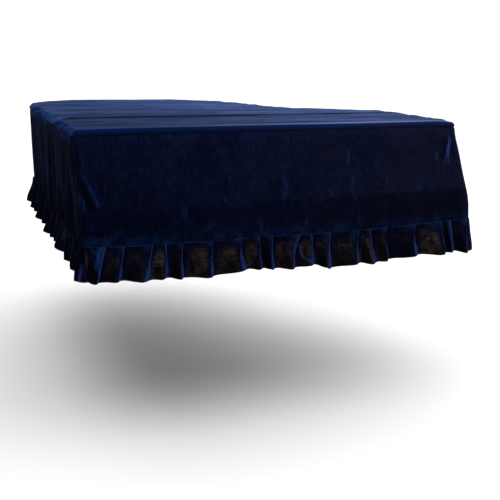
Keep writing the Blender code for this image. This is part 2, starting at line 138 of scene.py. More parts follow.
# ================================================================ finer folds that only the looks carry
# Fine upright pleats of the bass side, fanning forward near the keyboard corner.
#   place at the rim, place at the seam (metres from the front corner), height, half width
BASS_STREAKS = (
    (0.030, 0.020, 0.0027, 0.006),
    (0.045, 0.060, -0.0037, 0.008),
    (0.062, 0.098, 0.0037, 0.007),
    (0.080, 0.128, -0.0044, 0.008),
    (0.100, 0.160, 0.0044, 0.009),
    (0.128, 0.190, -0.0044, 0.009),
    (0.160, 0.215, 0.0051, 0.010),
    (0.205, 0.248, -0.0051, 0.010),
    (0.250, 0.275, 0.0051, 0.011),
    (0.322, 0.330, -0.0102, 0.012),
    (0.372, 0.372, 0.0061, 0.013),
    (0.430, 0.428, -0.0044, 0.012),
    (0.472, 0.466, 0.0051, 0.013),
    (0.530, 0.525, -0.0051, 0.014),
    (0.585, 0.580, 0.0048, 0.013),
    (0.655, 0.650, -0.0058, 0.015),
    (0.735, 0.735, 0.0051, 0.014),
    (0.790, 0.795, -0.0048, 0.014),
    (0.870, 0.870, 0.0051, 0.016),
    (0.965, 0.965, -0.0051, 0.016),
    (1.040, 1.040, 0.0054, 0.016),
    (1.120, 1.120, -0.0051, 0.016),
    (1.210, 1.210, 0.0048, 0.017),
    (1.310, 1.310, -0.0044, 0.018),
    (1.395, 1.395, 0.0041, 0.016),
)

# Short creases of the keyboard side. Ridges (+) and troughs (-).
#   from x, from drop, to x, to drop, height, half width
FRONT_CREASES = (
    (0.000, 0.110, 0.050, 0.238, 0.0100, 0.0135),
    (-0.014, 0.130, 0.020, 0.240, -0.0080, 0.0100),
    (-0.034, 0.160, -0.002, 0.246, 0.0034, 0.0080),
    (0.002, 0.012, 0.010, 0.072, -0.0045, 0.0040),
    (0.010, 0.066, 0.006, 0.120, -0.0030, 0.0050),
    (0.016, 0.060, 0.030, 0.088, 0.0032, 0.0050),
    (0.060, 0.239, 1.480, 0.237, 0.0018, 0.0065),
    (0.388, 0.352, 0.500, 0.292, -0.0032, 0.0070),
    (0.420, 0.356, 0.520, 0.318, 0.0030, 0.0130),
    (0.380, 0.332, 0.455, 0.292, 0.0024, 0.0130),
    (0.082, 0.318, 0.128, 0.300, 0.0022, 0.0100),
    (0.060, 0.342, 0.110, 0.322, 0.0018, 0.0080),
    (1.444, 0.044, 1.404, 0.134, 0.0085, 0.0105),
    (1.464, 0.054, 1.424, 0.150, -0.0050, 0.0110),
    (1.366, 0.112, 1.370, 0.140, 0.0022, 0.0070),
    (1.412, 0.126, 1.414, 0.156, 0.0020, 0.0070),
    (1.090, 0.118, 1.104, 0.164, 0.0022, 0.0110),
    (1.080, 0.190, 1.098, 0.222, 0.0024, 0.0080),
    (1.128, 0.190, 1.136, 0.215, 0.0018, 0.0070),
    (0.722, 0.150, 0.716, 0.235, 0.0022, 0.0130),
    (0.700, 0.196, 0.700, 0.244, 0.0020, 0.0100),
    (0.520, 0.148, 0.512, 0.176, 0.0018, 0.0060),
    (0.475, 0.210, 0.500, 0.248, 0.0018, 0.0100),
    (0.880, 0.205, 0.900, 0.240, 0.0018, 0.0100),
    (0.968, 0.205, 0.990, 0.262, 0.0018, 0.0100),
    (1.250, 0.216, 1.262, 0.246, 0.0020, 0.0110),
    (0.330, 0.220, 0.345, 0.300, 0.0016, 0.0140),
    (0.600, 0.290, 0.618, 0.350, 0.0018, 0.0120),
    (0.780, 0.300, 0.786, 0.352, 0.0018, 0.0120),
    (0.985, 0.300, 1.000, 0.356, 0.0016, 0.0110),
    (1.300, 0.316, 1.330, 0.352, 0.0016, 0.0120),
)

# Folded edges of the ruffle's pleats, keyboard side: x at the seam, x at the hem, sideways bow halfway down,
#   stand-out at the hem, hem below the seam, soft shoulder left of the edge at the seam, flare at the hem,
#   and how strongly the panel left of it is painted with a warm floor reflection (0 to 1)
FRONT_PLEATS = (
    (0.070, 0.037, 0.001, 0.024, 0.117, 0.030, 0.004, 0.12),
    (0.130, 0.108, 0.002, 0.018, 0.112, 0.005, 0.010, 0.35),
    (0.225, 0.197, 0.003, 0.026, 0.119, 0.005, 0.022, 0.30),
    (0.270, 0.266, 0.004, 0.010, 0.114, 0.006, 0.012, 0.90),
    (0.327, 0.324, -0.001, 0.021, 0.118, 0.004, 0.010, 0.25),
    (0.433, 0.428, -0.002, 0.022, 0.120, 0.004, 0.012, 0.90),
    (0.536, 0.544, -0.003, 0.027, 0.108, 0.005, 0.024, 0.62),
    (0.604, 0.610, 0.000, 0.010, 0.108, 0.003, 0.008, 0.60),
    (0.654, 0.654, -0.002, 0.023, 0.112, 0.005, 0.017, 0.10),
    (0.761, 0.731, -0.009, 0.024, 0.114, 0.016, 0.012, 0.90),
    (0.803, 0.804, 0.001, 0.021, 0.103, 0.008, 0.020, 0.80),
    (0.876, 0.872, -0.002, 0.027, 0.118, 0.007, 0.020, 0.60),
    (0.992, 0.986, -0.002, 0.024, 0.110, 0.005, 0.017, 0.45),
    (1.039, 1.055, 0.001, 0.020, 0.115, 0.008, 0.022, 0.90),
    (1.106, 1.109, 0.000, 0.022, 0.109, 0.004, 0.010, 0.70),
    (1.224, 1.229, -0.003, 0.028, 0.106, 0.004, 0.022, 0.10),
    (1.341, 1.355, 0.002, 0.022, 0.113, 0.006, 0.015, 0.95),
    (1.382, 1.390, 0.003, 0.016, 0.107, 0.018, 0.022, 0.10),
    (1.456, 1.455, 0.000, 0.018, 0.117, 0.006, 0.012, 0.10),
)
# The same along the bass side, in metres from the front corner.
BASS_PLEATS = (
    (0.030, 0.020, 0.000, 0.032, 0.118, 0.006, 0.014, 0.50),
    (0.118, 0.110, 0.002, 0.024, 0.112, 0.005, 0.016, 0.40),
    (0.205, 0.190, -0.002, 0.028, 0.114, 0.005, 0.018, 0.60),
    (0.300, 0.290, 0.002, 0.044, 0.118, 0.006, 0.020, 0.30),
    (0.385, 0.380, 0.000, 0.024, 0.111, 0.005, 0.014, 0.50),
    (0.470, 0.455, -0.003, 0.030, 0.114, 0.005, 0.016, 0.30),
    (0.560, 0.550, 0.001, 0.046, 0.119, 0.006, 0.020, 0.60),
    (0.655, 0.650, 0.002, 0.024, 0.112, 0.005, 0.014, 0.40),
    (0.745, 0.735, -0.001, 0.030, 0.113, 0.005, 0.016, 0.30),
    (0.850, 0.850, 0.000, 0.046, 0.118, 0.006, 0.020, 0.50),
    (0.940, 0.945, 0.002, 0.024, 0.111, 0.005, 0.014, 0.30),
    (1.030, 1.030, -0.002, 0.032, 0.115, 0.005, 0.016, 0.60),
    (1.120, 1.130, 0.001, 0.040, 0.117, 0.006, 0.018, 0.40),
    (1.215, 1.220, 0.000, 0.024, 0.112, 0.005, 0.014, 0.50),
    (1.300, 1.310, 0.002, 0.040, 0.116, 0.006, 0.018, 0.30),
    (1.385, 1.400, -0.001, 0.026, 0.112, 0.005, 0.014, 0.50),
)
# Uneven run that the pleats repeat round the treble side, bent side and tail: pitch, lean, bow, then as above.
BACK_PLEAT_RUN = (
    (0.108, 0.010, 0.002, 0.024, 0.114, 0.005, 0.018, 0.30),
    (0.094, -0.012, -0.002, 0.020, 0.111, 0.006, 0.012, 0.70),
    (0.117, 0.004, 0.003, 0.028, 0.118, 0.005, 0.022, 0.10),
    (0.058, 0.006, 0.000, 0.011, 0.112, 0.004, 0.010, 0.80),
    (0.104, -0.006, -0.003, 0.026, 0.115, 0.007, 0.020, 0.40),
    (0.112, 0.008, 0.001, 0.022, 0.110, 0.005, 0.014, 0.60),
    (0.081, -0.010, 0.002, 0.019, 0.116, 0.006, 0.016, 0.20),
)
UNDERLAP_AT_SEAM, UNDERLAP_AT_HEM = 0.013, 0.003  # how far a pleat folds back under its edge
FLARE = 1.15  # how wide the flutes open at the hem, as a share of their table size
HEAD_BULGE = 0.0026  # how far the gathered head rounds out below the seam
NAP_SLANT = 0.26
RUFFLE_DEEP = 0.115  # depth of the ruffle laid out flat
BASS_ROLL = 0.020  # how much wider the cloth rolls over the lid's bass edge
TUCK_BEHIND = 0.0027  # how far behind the skirt's face the head of the ruffle is sewn
BEND_DROP = 0.236  # where the keyboard side turns from its slope to hang straight
HEAD_TUCK = 0.0032  # how far behind the lid's edge the head of the skirt is sewn

# Short creases of the ruffle, as in FRONT_CREASES but down is the share of the way from seam to hem.
#   from x, from down, to x, to down, height, half width (metres)
RUFFLE_CREASES = (
    (0.748, 0.26, 0.757, 0.66, 0.0110, 0.0055),
    (0.755, 0.62, 0.776, 0.84, 0.0110, 0.0055),
    (0.772, 0.80, 0.800, 0.86, 0.0080, 0.0055),
    (0.044, 0.22, 0.022, 0.66, 0.0040, 0.0070),
    (0.020, 0.06, 0.048, 0.30, 0.0040, 0.0060),
    (0.160, 0.00, 0.170, 0.30, 0.0016, 0.0060),
    (0.196, 0.00, 0.200, 0.28, 0.0018, 0.0060),
    (0.262, 0.05, 0.285, 0.95, 0.0020, 0.0090),
    (0.395, 0.42, 0.418, 0.54, 0.0012, 0.0050),
    (0.385, 0.58, 0.412, 0.70, 0.0012, 0.0050),
    (0.470, 0.30, 0.500, 0.46, 0.0010, 0.0050),
    (0.690, 0.46, 0.716, 0.60, 0.0012, 0.0050),
    (0.830, 0.10, 0.866, 0.30, 0.0026, 0.0090),
    (0.905, 0.20, 0.935, 0.40, 0.0016, 0.0060),
    (0.945, 0.05, 0.980, 0.30, 0.0026, 0.0100),
    (1.165, 0.05, 1.190, 0.24, 0.0022, 0.0060),
    (1.195, 0.10, 1.212, 0.40, 0.0020, 0.0060),
    (1.260, 0.02, 1.330, 0.16, 0.0026, 0.0100),
    (1.285, 0.50, 1.318, 0.62, 0.0012, 0.0050),
    (1.280, 0.66, 1.312, 0.78, 0.0012, 0.0050),
    (1.420, 0.02, 1.450, 0.20, 0.0030, 0.0110),
    (1.535, -0.20, 1.535, 1.60, -0.0120, 0.0400),
)

# Small painted highlights on the ruffle near the keyboard corner, tan ones and bright blue ones:
#   kind, side, metres from the front corner, share down, half width, half height (metres), lean, share
RUFFLE_SPOTS = (
    ("tan_highlight", "front", 0.0050, 0.40, 0.0090, 0.040, -0.10, 0.80),
    ("tan_highlight", "bass", 0.2020, 0.16, 0.0060, 0.022, -0.30, 0.70),
    ("tan_highlight", "bass", 0.3960, 0.12, 0.0080, 0.022, -0.20, 0.60),
    ("tan_highlight", "bass", 0.5560, 0.30, 0.0090, 0.024, -0.20, 0.40),
    ("tan_highlight", "bass", 1.0450, 0.55, 0.0120, 0.018, 0.20, 0.45),
    ("bright_marks", "bass", 0.0220, 0.92, 0.0032, 0.058, 0.05, 0.90),
    ("bright_marks", "bass", 0.1930, 0.52, 0.0060, 0.040, 0.10, 0.40),
    ("bright_marks", "bass", 0.2940, 0.42, 0.0060, 0.034, 0.10, 0.40),
    ("bright_marks", "bass", 0.6500, 0.20, 0.0070, 0.030, 0.10, 0.35),
)

# The same painted highlights on the skirt, down from the lid as a share of the way to the seam.
SKIRT_SPOTS = (
    ("bright_marks", "front", 1.4450, 0.268, 0.0150, 0.052, -0.41, 0.95),
    ("bright_marks", "front", 1.3900, 0.350, 0.0070, 0.024, -0.15, 0.45),
    ("bright_marks", "front", 1.4220, 0.400, 0.0060, 0.026, -0.15, 0.40),
    ("bright_marks", "front", 1.0150, 0.330, 0.0100, 0.036, -0.20, 0.24),
    ("bright_marks", "front", 1.0250, 0.560, 0.0120, 0.030, -0.10, 0.24),
)

# Creases of the top, where the cloth rises off the lid: from x, y, to x, y, height, half width in front, behind
TOP_CREASES = (
    (0.034, 0.462, 1.480, 0.412, 0.0056, 0.010, 0.060),
    (0.110, 0.700, 0.260, 0.690, 0.0034, 0.010, 0.030),
    (0.090, 0.930, 0.400, 0.900, 0.0022, 0.020, 0.060),
    (0.110, 1.270, 0.840, 1.210, 0.0022, 0.030, 0.060),
    (0.600, 0.850, 1.020, 0.830, 0.0018, 0.030, 0.060),
)
# Faint slack of the top in long waves across the lid: rise, waves per metre across x, waves per metre across y, phase
TOP_SLACK = (
    (0.00085, 0.35, 6.3, 0.4),
    (0.00070, -0.55, 9.7, 2.1),
    (0.00044, 0.90, 14.2, 4.4),
    (0.00028, -1.60, 21.0, 1.2),
)

# At the treble corner of the keyboard side the cloth stands off the lid and droops: how far it moves, and its reach
TREBLE_DROOP = (0.0100, -0.0035, -0.0070)
TREBLE_DROOP_REACH = 0.042

CAMERA_AT = (-1.14785114, -3.6131784, 0.27729079)
CAMERA_TURN = (76.71936219, -0.41758893, -19.64587289)
CAMERA_LENS = 61.84174729


# ================================================================ the lid's edge and the body of the cover
def smooth_through(points, steps):
    pts = np.array(points, float)
    ends = np.vstack([2 * pts[0] - pts[1], pts, 2 * pts[-1] - pts[-2]])
    out = []
    for i in range(1, len(ends) - 2):
        a, b, c, d = ends[i - 1 : i + 3]
        for t in np.linspace(0, 1, steps, endpoint=False):
            out.append(
                0.5 * ((2 * b) + (c - a) * t + (2 * a - 5 * b + 4 * c - d) * t**2 + (3 * b - a - 3 * c + d) * t**3)
            )
    out.append(pts[-1])
    return np.array(out)


def arc(cx, cy, r, start, end, steps):
    return np.array([(cx + r * math.cos(a), cy + r * math.sin(a)) for a in np.linspace(start, end, steps)])


class Edge:
    """The lid's edge as one closed run, anticlockwise from the bass end of the keyboard side."""

    def __init__(self):
        rb, rt, w = BASS_CORNER_R, TREBLE_CORNER_R, LID_WIDTH
        runs = [
            np.linspace((rb, 0), (w - rt, 0), 400),
            arc(w - rt, rt, rt, -math.pi / 2, 0, 60),
            np.linspace((w, rt), BENT_SIDE[0], 120),
            smooth_through(BENT_SIDE, 24),
            np.linspace(BENT_SIDE[-1], (0, rb), 300),
            arc(rb, rb, rb, math.pi, 1.5 * math.pi, 60),
        ]
        pts = np.vstack([r[:-1] for r in runs])
        steps = np.linalg.norm(np.diff(np.vstack([pts, pts[:1]]), axis=0), axis=1)
        self.closed = np.vstack([pts, pts[:1]])
        self.at = np.concatenate([[0], np.cumsum(steps)])
        self.length = self.at[-1]
        lengths = [np.linalg.norm(np.diff(r, axis=0), axis=1).sum() for r in runs]
        self.starts = np.concatenate([[0], np.cumsum(lengths)])

    def place(self, s):
        s = np.mod(s, self.length)
        return np.stack([np.interp(s, self.at, self.closed[:, i]) for i in (0, 1)], axis=-1)

    def outward(self, s, span=0.006):
        d = self.place(np.asarray(s) + span) - self.place(np.asarray(s) - span)
        d /= np.linalg.norm(d, axis=-1, keepdims=True)
        return np.stack([d[..., 1], -d[..., 0]], axis=-1)

    def on(self, side, where):
        if side == "front":
            return where - BASS_CORNER_R
        if side == "treble":
            return self.starts[2] + where - TREBLE_CORNER_R
        if side == "tail":
            return self.starts[3] + where
        return self.starts[5] - (where - BASS_CORNER_R)


EDGE = Edge()


def smoothstep(t):
    t = np.clip(t, 0, 1)
    return t * t * (3 - 2 * t)


def table(rows, column, x):
    return np.interp(x, [r[0] for r in rows], [r[column] for r in rows])


def rounded_reach(column, drop):
    """The reach table with its corners softened, as cloth bends."""
    total = 0
    for shift, share in ((-0.014, 0.2), (-0.007, 0.2), (0, 0.2), (0.007, 0.2), (0.014, 0.2)):
        total = total + share * table(FRONT_REACH, column, np.maximum(drop + shift * smoothstep(drop / 0.05), 0))
    return total


def front_shift(x, y, drop):
    bass, treble = rounded_reach(1, drop), rounded_reach(2, drop)
    reach = bass + (treble - bass) * smoothstep(x / LID_WIDTH)
    return reach * (1 - smoothstep((y - BASS_CORNER_R) / CHEEK_RUN))


def section(s, drop):
    """Plan points and outward directions of the smooth body of the cover at a drop, before folds."""
    span = 0.004

    def base(at):
        p = EDGE.place(at)
        return p - np.stack([np.zeros_like(p[..., 0]), front_shift(p[..., 0], p[..., 1], drop)], axis=-1)

    d = base(s + span) - base(s - span)
    d /= np.linalg.norm(d, axis=-1, keepdims=True)
    return base(s), np.stack([d[..., 1], -d[..., 0]], axis=-1)


def run_distance(s, at):
    return (s - at + EDGE.length / 2) % EDGE.length - EDGE.length / 2


def seam_sag(x, y):
    """Sag of the ruffle seam, on the keyboard side only."""
    return table(SEAM_SAG, 1, x) * (1 - smoothstep(y / 0.05))


def skirt_relief(s, drop):
    depth = np.clip((drop - RIM_DROP) / (SEAM_DROP - RIM_DROP), 0, 1)
    out = np.zeros(np.broadcast(s, drop).shape)
    for side, where, height, half, top, lean in SKIRT_FOLDS:
        at = EDGE.on(side, where) - lean * (drop - RIM_DROP) * (1 if side == "bass" else -1)
        grow = top + (1 - top) * smoothstep(depth)
        out = out + height * grow * np.exp(-((run_distance(s, at) / half) ** 2))
    tuck = SKIRT_TUCK * depth * smoothstep((EDGE.place(s)[..., 1] - 0.10) / 0.40)
    return out * smoothstep((drop - RIM_DROP + 0.004) / 0.03) - tuck


def streaks(s, drop):
    """Fine upright pleats of the bass side."""
    depth = np.clip((drop - RIM_DROP) / (SEAM_DROP - RIM_DROP), 0, 1)
    out = np.zeros(np.broadcast(s, drop).shape)
    for rim, seam, height, half in BASS_STREAKS:
        at = EDGE.on("bass", rim) + (EDGE.on("bass", seam) - EDGE.on("bass", rim)) * smoothstep(depth)
        away = run_distance(s, at)
        grow = 0.45 + 0.55 * smoothstep(depth * 1.6)
        out = out + height * grow * np.exp(-((away / (half * (0.8 + 0.4 * depth))) ** 2))
    return out * smoothstep((drop - RIM_DROP) / 0.012)


def ridge(u, v, ax, av, bx, bv, height, half):
    """A soft crease along the line a-b on a sheet laid out as (u, v), fading at both ends."""
    length = math.hypot(bx - ax, bv - av)
    tx, tv = (bx - ax) / length, (bv - av) / length
    along = (u - ax) * tx + (v - av) * tv
    off = -(u - ax) * tv + (v - av) * tx
    fade = min(0.35 * length, 3 * half)
    ends = smoothstep((along + 0.3 * fade) / fade) * smoothstep((length - along + 0.3 * fade) / fade)
    return height * ends * np.exp(-((off / half) ** 2))


def crease_light(u, drop):
    """Mask for the painted highlight along the small creases of the keyboard side: 1 on a ridge, -1 in a trough."""
    out = np.zeros(np.broadcast(u, drop).shape)
    for row in FRONT_CREASES:
        if abs(row[4]) < 0.004 and row[2] - row[0] < 1:
            out = out + ridge(u, drop, *row) / abs(row[4])
    return np.clip(out, -1, 1)


def bass_side(s):
    """1 on the straight bass side, 0 elsewhere."""
    s = np.mod(s, EDGE.length)
    return smoothstep((s - (EDGE.starts[5] - 1.35)) / 0.10) * smoothstep((EDGE.length - 0.012 - s) / 0.030)


def highlight_way(s):
    """How strongly folds that face along the run get the painted fold highlight: on the bass strip it goes the other
    way round.
    """
    bass = bass_side(s)
    back = smoothstep((s - EDGE.starts[1]) / 0.10) * (1 - bass) * smoothstep((EDGE.length - 0.06 - s) / 0.05)
    turning = np.exp(-(((np.mod(s, EDGE.length) - EDGE.starts[1] + 0.006) / 0.030) ** 2))
    return (1.0 - 0.25 * back - 2.0 * bass) * (1 - 0.92 * turning)


# ================================================================ meshes
def cloth_object(name, outer, wrap, uv, masks, thick=0.0016, way=None):
    """A shell of cloth from a grid of points (rows x columns x 3), closed along the columns where wrap is set.
    The back is the same grid moved inward by the cloth's thickness. uv is rows x columns x 2, in metres of cloth."""
    rows, cols = outer.shape[:2]
    along = np.empty_like(outer)
    if wrap:
        along[:] = np.roll(outer, -1, axis=1) - np.roll(outer, 1, axis=1)
    else:
        along[:, 1:-1] = outer[:, 2:] - outer[:, :-2]
        along[:, 0], along[:, -1] = outer[:, 1] - outer[:, 0], outer[:, -1] - outer[:, -2]
    down = np.empty_like(outer)
    down[1:-1] = outer[2:] - outer[:-2]
    down[0], down[-1] = outer[1] - outer[0], outer[-1] - outer[-2]
    normal = np.cross(down, along)
    size = np.linalg.norm(normal, axis=-1, keepdims=True)
    normal /= np.maximum(size, 1e-12)
    inner = outer - thick * normal
    if way is not None:
        # how far each spot faces along the run of the cloth, scaled by way: the mask of the painted fold highlight and
        # shade
        masks = {**masks, "turned": normal[..., 0] * way[..., 0] + normal[..., 1] * way[..., 1], "upward": normal[..., 2]}
    n = rows * cols
    r, c = np.meshgrid(np.arange(rows - 1), np.arange(cols if wrap else cols - 1), indexing="ij")
    d = (c + 1) % cols
    p, q, u, v = r * cols + c, r * cols + d, (r + 1) * cols + c, (r + 1) * cols + d
    front = np.stack([p, u, v, q], axis=-1).reshape(-1, 4)
    back = np.stack([p, q, v, u], axis=-1).reshape(-1, 4) + n
    rims = []
    c = np.arange(cols if wrap else cols - 1)
    d = (c + 1) % cols
    rims.append(np.stack([c, d, n + d, n + c], axis=-1))
    e = (rows - 1) * cols
    rims.append(np.stack([e + c, n + e + c, n + e + d, e + d], axis=-1))
    if not wrap:
        a = np.arange(rows - 1) * cols
        b = a + cols
        rims.append(np.stack([a, n + a, n + b, b], axis=-1))
        a, b = a + cols - 1, b + cols - 1
        rims.append(np.stack([a, b, n + b, n + a], axis=-1))
    rims = np.vstack(rims)
    faces = np.vstack([front, back, rims])
    verts = np.vstack([outer.reshape(-1, 3), inner.reshape(-1, 3)])
    mesh = bpy.data.meshes.new(name)
    mesh.vertices.add(len(verts))
    mesh.vertices.foreach_set("co", verts.astype(np.float32).ravel())
    mesh.loops.add(faces.size)
    mesh.loops.foreach_set("vertex_index", faces.astype(np.int32).ravel())
    mesh.polygons.add(len(faces))
    mesh.polygons.foreach_set("loop_start", np.arange(0, faces.size, 4, dtype=np.int32))
    mesh.polygons.foreach_set("loop_total", np.full(len(faces), 4, np.int32))
    index = np.zeros(len(faces), np.int32)
    index[len(front) : len(front) + len(back)] = 1
    mesh.polygons.foreach_set("material_index", index)
    mesh.update(calc_edges=True)
    mesh.validate()
    flat = np.vstack([uv.reshape(-1, 2)] * 2)
    layer = mesh.uv_layers.new(name="cloth")
    corner = np.zeros(len(mesh.loops), np.int32)
    mesh.loops.foreach_get("vertex_index", corner)
    layer.data.foreach_set("uv", flat[corner].astype(np.float32).ravel())
    for key, value in masks.items():
        attribute = mesh.attributes.new(key, "FLOAT", "POINT")
        attribute.data.foreach_set("value", np.tile(value.reshape(-1), 2).astype(np.float32))
    mesh.shade_smooth()
    obj = bpy.data.objects.new(name, mesh)
    bpy.context.scene.collection.objects.link(obj)
    return obj


def zoned(zones):
    out = []
    for start, end, step in zones:
        out += list(np.linspace(start, end, max(1, round((end - start) / step)), endpoint=False))
    return np.array(out)


# ---------------------------------------------------------------- the skirt
def skirt_columns():
    e = EDGE
    return zoned((
        (0, 0.16, 0.0034),
        (0.16, e.starts[1] - 0.10, 0.0052),
        (e.starts[1] - 0.10, e.starts[2], 0.0034),
        (e.starts[2], e.starts[5] - 1.20, 0.0062),
        (e.starts[5] - 1.20, e.starts[5] - 0.16, 0.0034),
        (e.starts[5] - 0.16, e.length, 0.0024),
    ))


def skirt_body(s, drop, fine=True):
    """Points of the skirt's outer face in the row frame."""
    plan, out = section(s, drop)
    edge = EDGE.place(s)
    relief = skirt_relief(s, drop)
    if fine:
        relief = relief + streaks(s, drop)
        u = np.where(run_distance(s, 0.0) < 0, run_distance(s, 0.0), s) + BASS_CORNER_R
        u = np.where(s > EDGE.starts[2], run_distance(s, 0.0) + BASS_CORNER_R, u)
        for row in FRONT_CREASES:
            relief = relief + ridge(u, drop, *row)
    p = plan + out * relief[..., None]
    return np.stack([p[..., 0] - ORIGIN_X, p[..., 1] - ORIGIN_Y, -np.broadcast_to(drop, s.shape)], axis=-1)


def build_skirt():
    s = skirt_columns()
    share = np.concatenate([[-0.0125, -0.005, 0, 0.006, 0.02], np.linspace(0.045, 0.985, 31), [0.994, 1.0]])
    edge = EDGE.place(s)
    foot = SEAM_DROP + seam_sag(edge[:, 0], edge[:, 1])
    top = RIM_DROP + SEAM_GAP
    drop = top + (foot - top)[None, :] * share[:, None]
    grid_s = np.broadcast_to(s, drop.shape)
    pts = skirt_body(grid_s, drop)
    plan, out = section(grid_s, drop)
    # the foot draws in a little, and the head is sewn in behind the roll of the top
    pinch = 0.0005 * np.exp(-(1 - share) / 0.012)
    pts[..., 0] -= out[..., 0] * pinch[:, None]
    pts[..., 1] -= out[..., 1] * pinch[:, None]
    head = EDGE.place(grid_s) - EDGE.outward(grid_s) * HEAD_TUCK
    tucked = np.exp(-np.maximum(share, 0) / 0.0065)[:, None]
    pts[..., 0] += (head[..., 0] - ORIGIN_X - pts[..., 0]) * tucked
    pts[..., 1] += (head[..., 1] - ORIGIN_Y - pts[..., 1]) * tucked
    # the nap's brush marks run down the slope a little slantwise
    slope = front_shift(plan[..., 0], np.maximum(plan[..., 1], 0), drop)
    uv = np.stack([grid_s + NAP_SLANT * slope, -drop], axis=-1)
    way = np.stack([-out[..., 1], out[..., 0]], axis=-1) * highlight_way(grid_s)[..., None]
    on_front = smoothstep((0.30 - edge[:, 1]) / 0.25) * (s < EDGE.starts[2]) + (s > EDGE.starts[5])
    across = np.where(on_front > 0, edge[:, 0] / LID_WIDTH, 0.0) + 0.35 * (1 - np.clip(on_front, 0, 1))
    # under the bend over the key slip the cloth turns in and loses the light, most sharply toward the treble end
    sharp = 0.024 - 0.018 * across
    under = smoothstep((drop - BEND_DROP) / sharp) * (0.05 + 0.52 * across) * on_front
    u = np.where(s > EDGE.starts[2], run_distance(s, 0.0), s) + BASS_CORNER_R
    masks = {
        "crest_highlight": crease_light(u, drop),
        "down": np.broadcast_to(share[:, None], drop.shape), "bass": bass_side(grid_s),
        "across": np.broadcast_to(across, drop.shape), "under": under,
    }
    return cloth_object("velvet_skirt", pts, True, uv, masks, way=way)


# ---------------------------------------------------------------- the ruffle
def all_pleats():
    rows = [
        (EDGE.on("front", r[0]), EDGE.on("front", r[1]), *r[2:]) for r in FRONT_PLEATS
    ]
    at, end, i = EDGE.on("front", LID_WIDTH) + 0.035, EDGE.on("bass", 1.45), 0
    while at < end:
        r = BACK_PLEAT_RUN[i % len(BACK_PLEAT_RUN)]
        rows.append((at, at + r[1], *r[2:]))
        at, i = at + r[0], i + 1
    rows += [(EDGE.on("bass", r[0]), EDGE.on("bass", r[1]), *r[2:]) for r in reversed(BASS_PLEATS)]
    return np.array(rows)


PLEATS = all_pleats()
PLEAT_STEPS = 26


def spline_row(points, steps):
    """Catmull-Rom through a closed chain of groups of points: (groups, points in a group, 2) to (groups, steps, 2)."""
    groups, per = points.shape[:2]
    flat = points.reshape(-1, 2)
    at = np.linspace(0, per, steps, endpoint=False)
    i, t = at.astype(int), at - at.astype(int)
    out = np.empty((groups, steps, 2))
    n = len(flat)
    for k in range(steps):
        j = np.arange(groups) * per + i[k]
        a, b, c, d = (flat[(j + o) % n] for o in (-1, 0, 1, 2))
        w = t[k]
        # the run wraps at the chain's end
        fix = [np.zeros_like(a) for _ in range(4)]
        for m, o in enumerate((-1, 0, 1, 2)):
            fix[m][:, 0] = np.where(j + o >= n, EDGE.length, 0) - np.where(j + o < 0, EDGE.length, 0)
        a, b, c, d = a + fix[0], b + fix[1], c + fix[2], d + fix[3]
        out[:, k] = 0.5 * (
            2 * b + (c - a) * w + (2 * a - 5 * b + 4 * c - d) * w**2 + (3 * b - a - 3 * c + d) * w**3
        )
    return out


def ruffle_section(t):
    """The ruffle's cross-section at share t of the way down: run, stand-out and pleat share, group by group.
    Knife pleats folded under their edges at the seam open into round flutes at the hem."""
    seam, hem, bow, stand, deep, sh0, sh1, warm_reflection = PLEATS.T
    t = max(t, 0.0)
    grow = PLEAT_AT_SEAM + (1 - PLEAT_AT_SEAM) * smoothstep(t * 0.95)
    edge = seam + (hem - seam) * t + bow * math.sin(math.pi * t)
    before = np.roll(edge, 1)
    before[0] -= EDGE.length
    stand_before = np.roll(stand, 1)
    width = edge - before
    width_after = np.roll(width, -1)
    high = (1.06 - 0.10 * t) * stand * grow
    low_before = -0.34 * (stand + stand_before) / 2 * grow
    low_after = np.roll(low_before, -1)
    rise, fall = high - low_before, high - low_after
    ply = 0.0016
    # knife pleat
    shoulder = np.minimum(sh0 + (sh1 - sh0) * t**1.6, 0.35 * width)
    under = (UNDERLAP_AT_SEAM + (UNDERLAP_AT_HEM - UNDERLAP_AT_SEAM) * t) * smoothstep((t - 0.03) / 0.09)
    under_before = np.minimum(under, 0.3 * np.roll(width, 1))
    under_after = np.minimum(under, 0.3 * width)
    knife = np.stack([
        np.stack([before - under_before, low_before - 0.2 * ply], -1),
        np.stack([before - 0.35 * under_before, low_before - 1.0 * ply], -1),
        np.stack([before + 0.10 * width, low_before + 0.06 * rise], -1),
        np.stack([before + 0.36 * width, low_before + 0.42 * rise], -1),
        np.stack([edge - shoulder - 0.26 * width, low_before + 0.82 * rise], -1),
        np.stack([edge - shoulder, high], -1),
        np.stack([edge - 0.40 * shoulder, high - 0.34 * fall], -1),
        np.stack([edge, low_after + 0.34 * fall], -1),
        np.stack([edge - 0.45 * under_after, low_after + ply + 0.04 * fall], -1),
    ], axis=1)
    # open flute
    r = np.minimum(FLARE * sh1 + 0.004, 0.42 * np.minimum(width, width_after))
    rb = np.roll(r, 1)
    span = width - 0.8 * rb - 0.75 * r
    flute = np.stack([
        np.stack([before + 0.50 * rb, low_before + 0.07 * rise], -1),
        np.stack([before + 0.80 * rb, low_before], -1),
        np.stack([before + 0.80 * rb + 0.22 * span, low_before + 0.07 * rise], -1),
        np.stack([before + 0.80 * rb + 0.52 * span, low_before + 0.40 * rise], -1),
        np.stack([before + 0.80 * rb + 0.80 * span, low_before + 0.84 * rise], -1),
        np.stack([edge - 0.75 * r, high], -1),
        np.stack([edge - 0.36 * r, high - 0.16 * fall], -1),
        np.stack([edge - 0.02 * r, low_after + 0.56 * fall], -1),
        np.stack([edge + 0.22 * r, low_after + 0.26 * fall], -1),
    ], axis=1)
    opened = smoothstep((t - 0.12) / 0.80)
    return spline_row(knife + (flute - knife) * opened, PLEAT_STEPS), edge, before


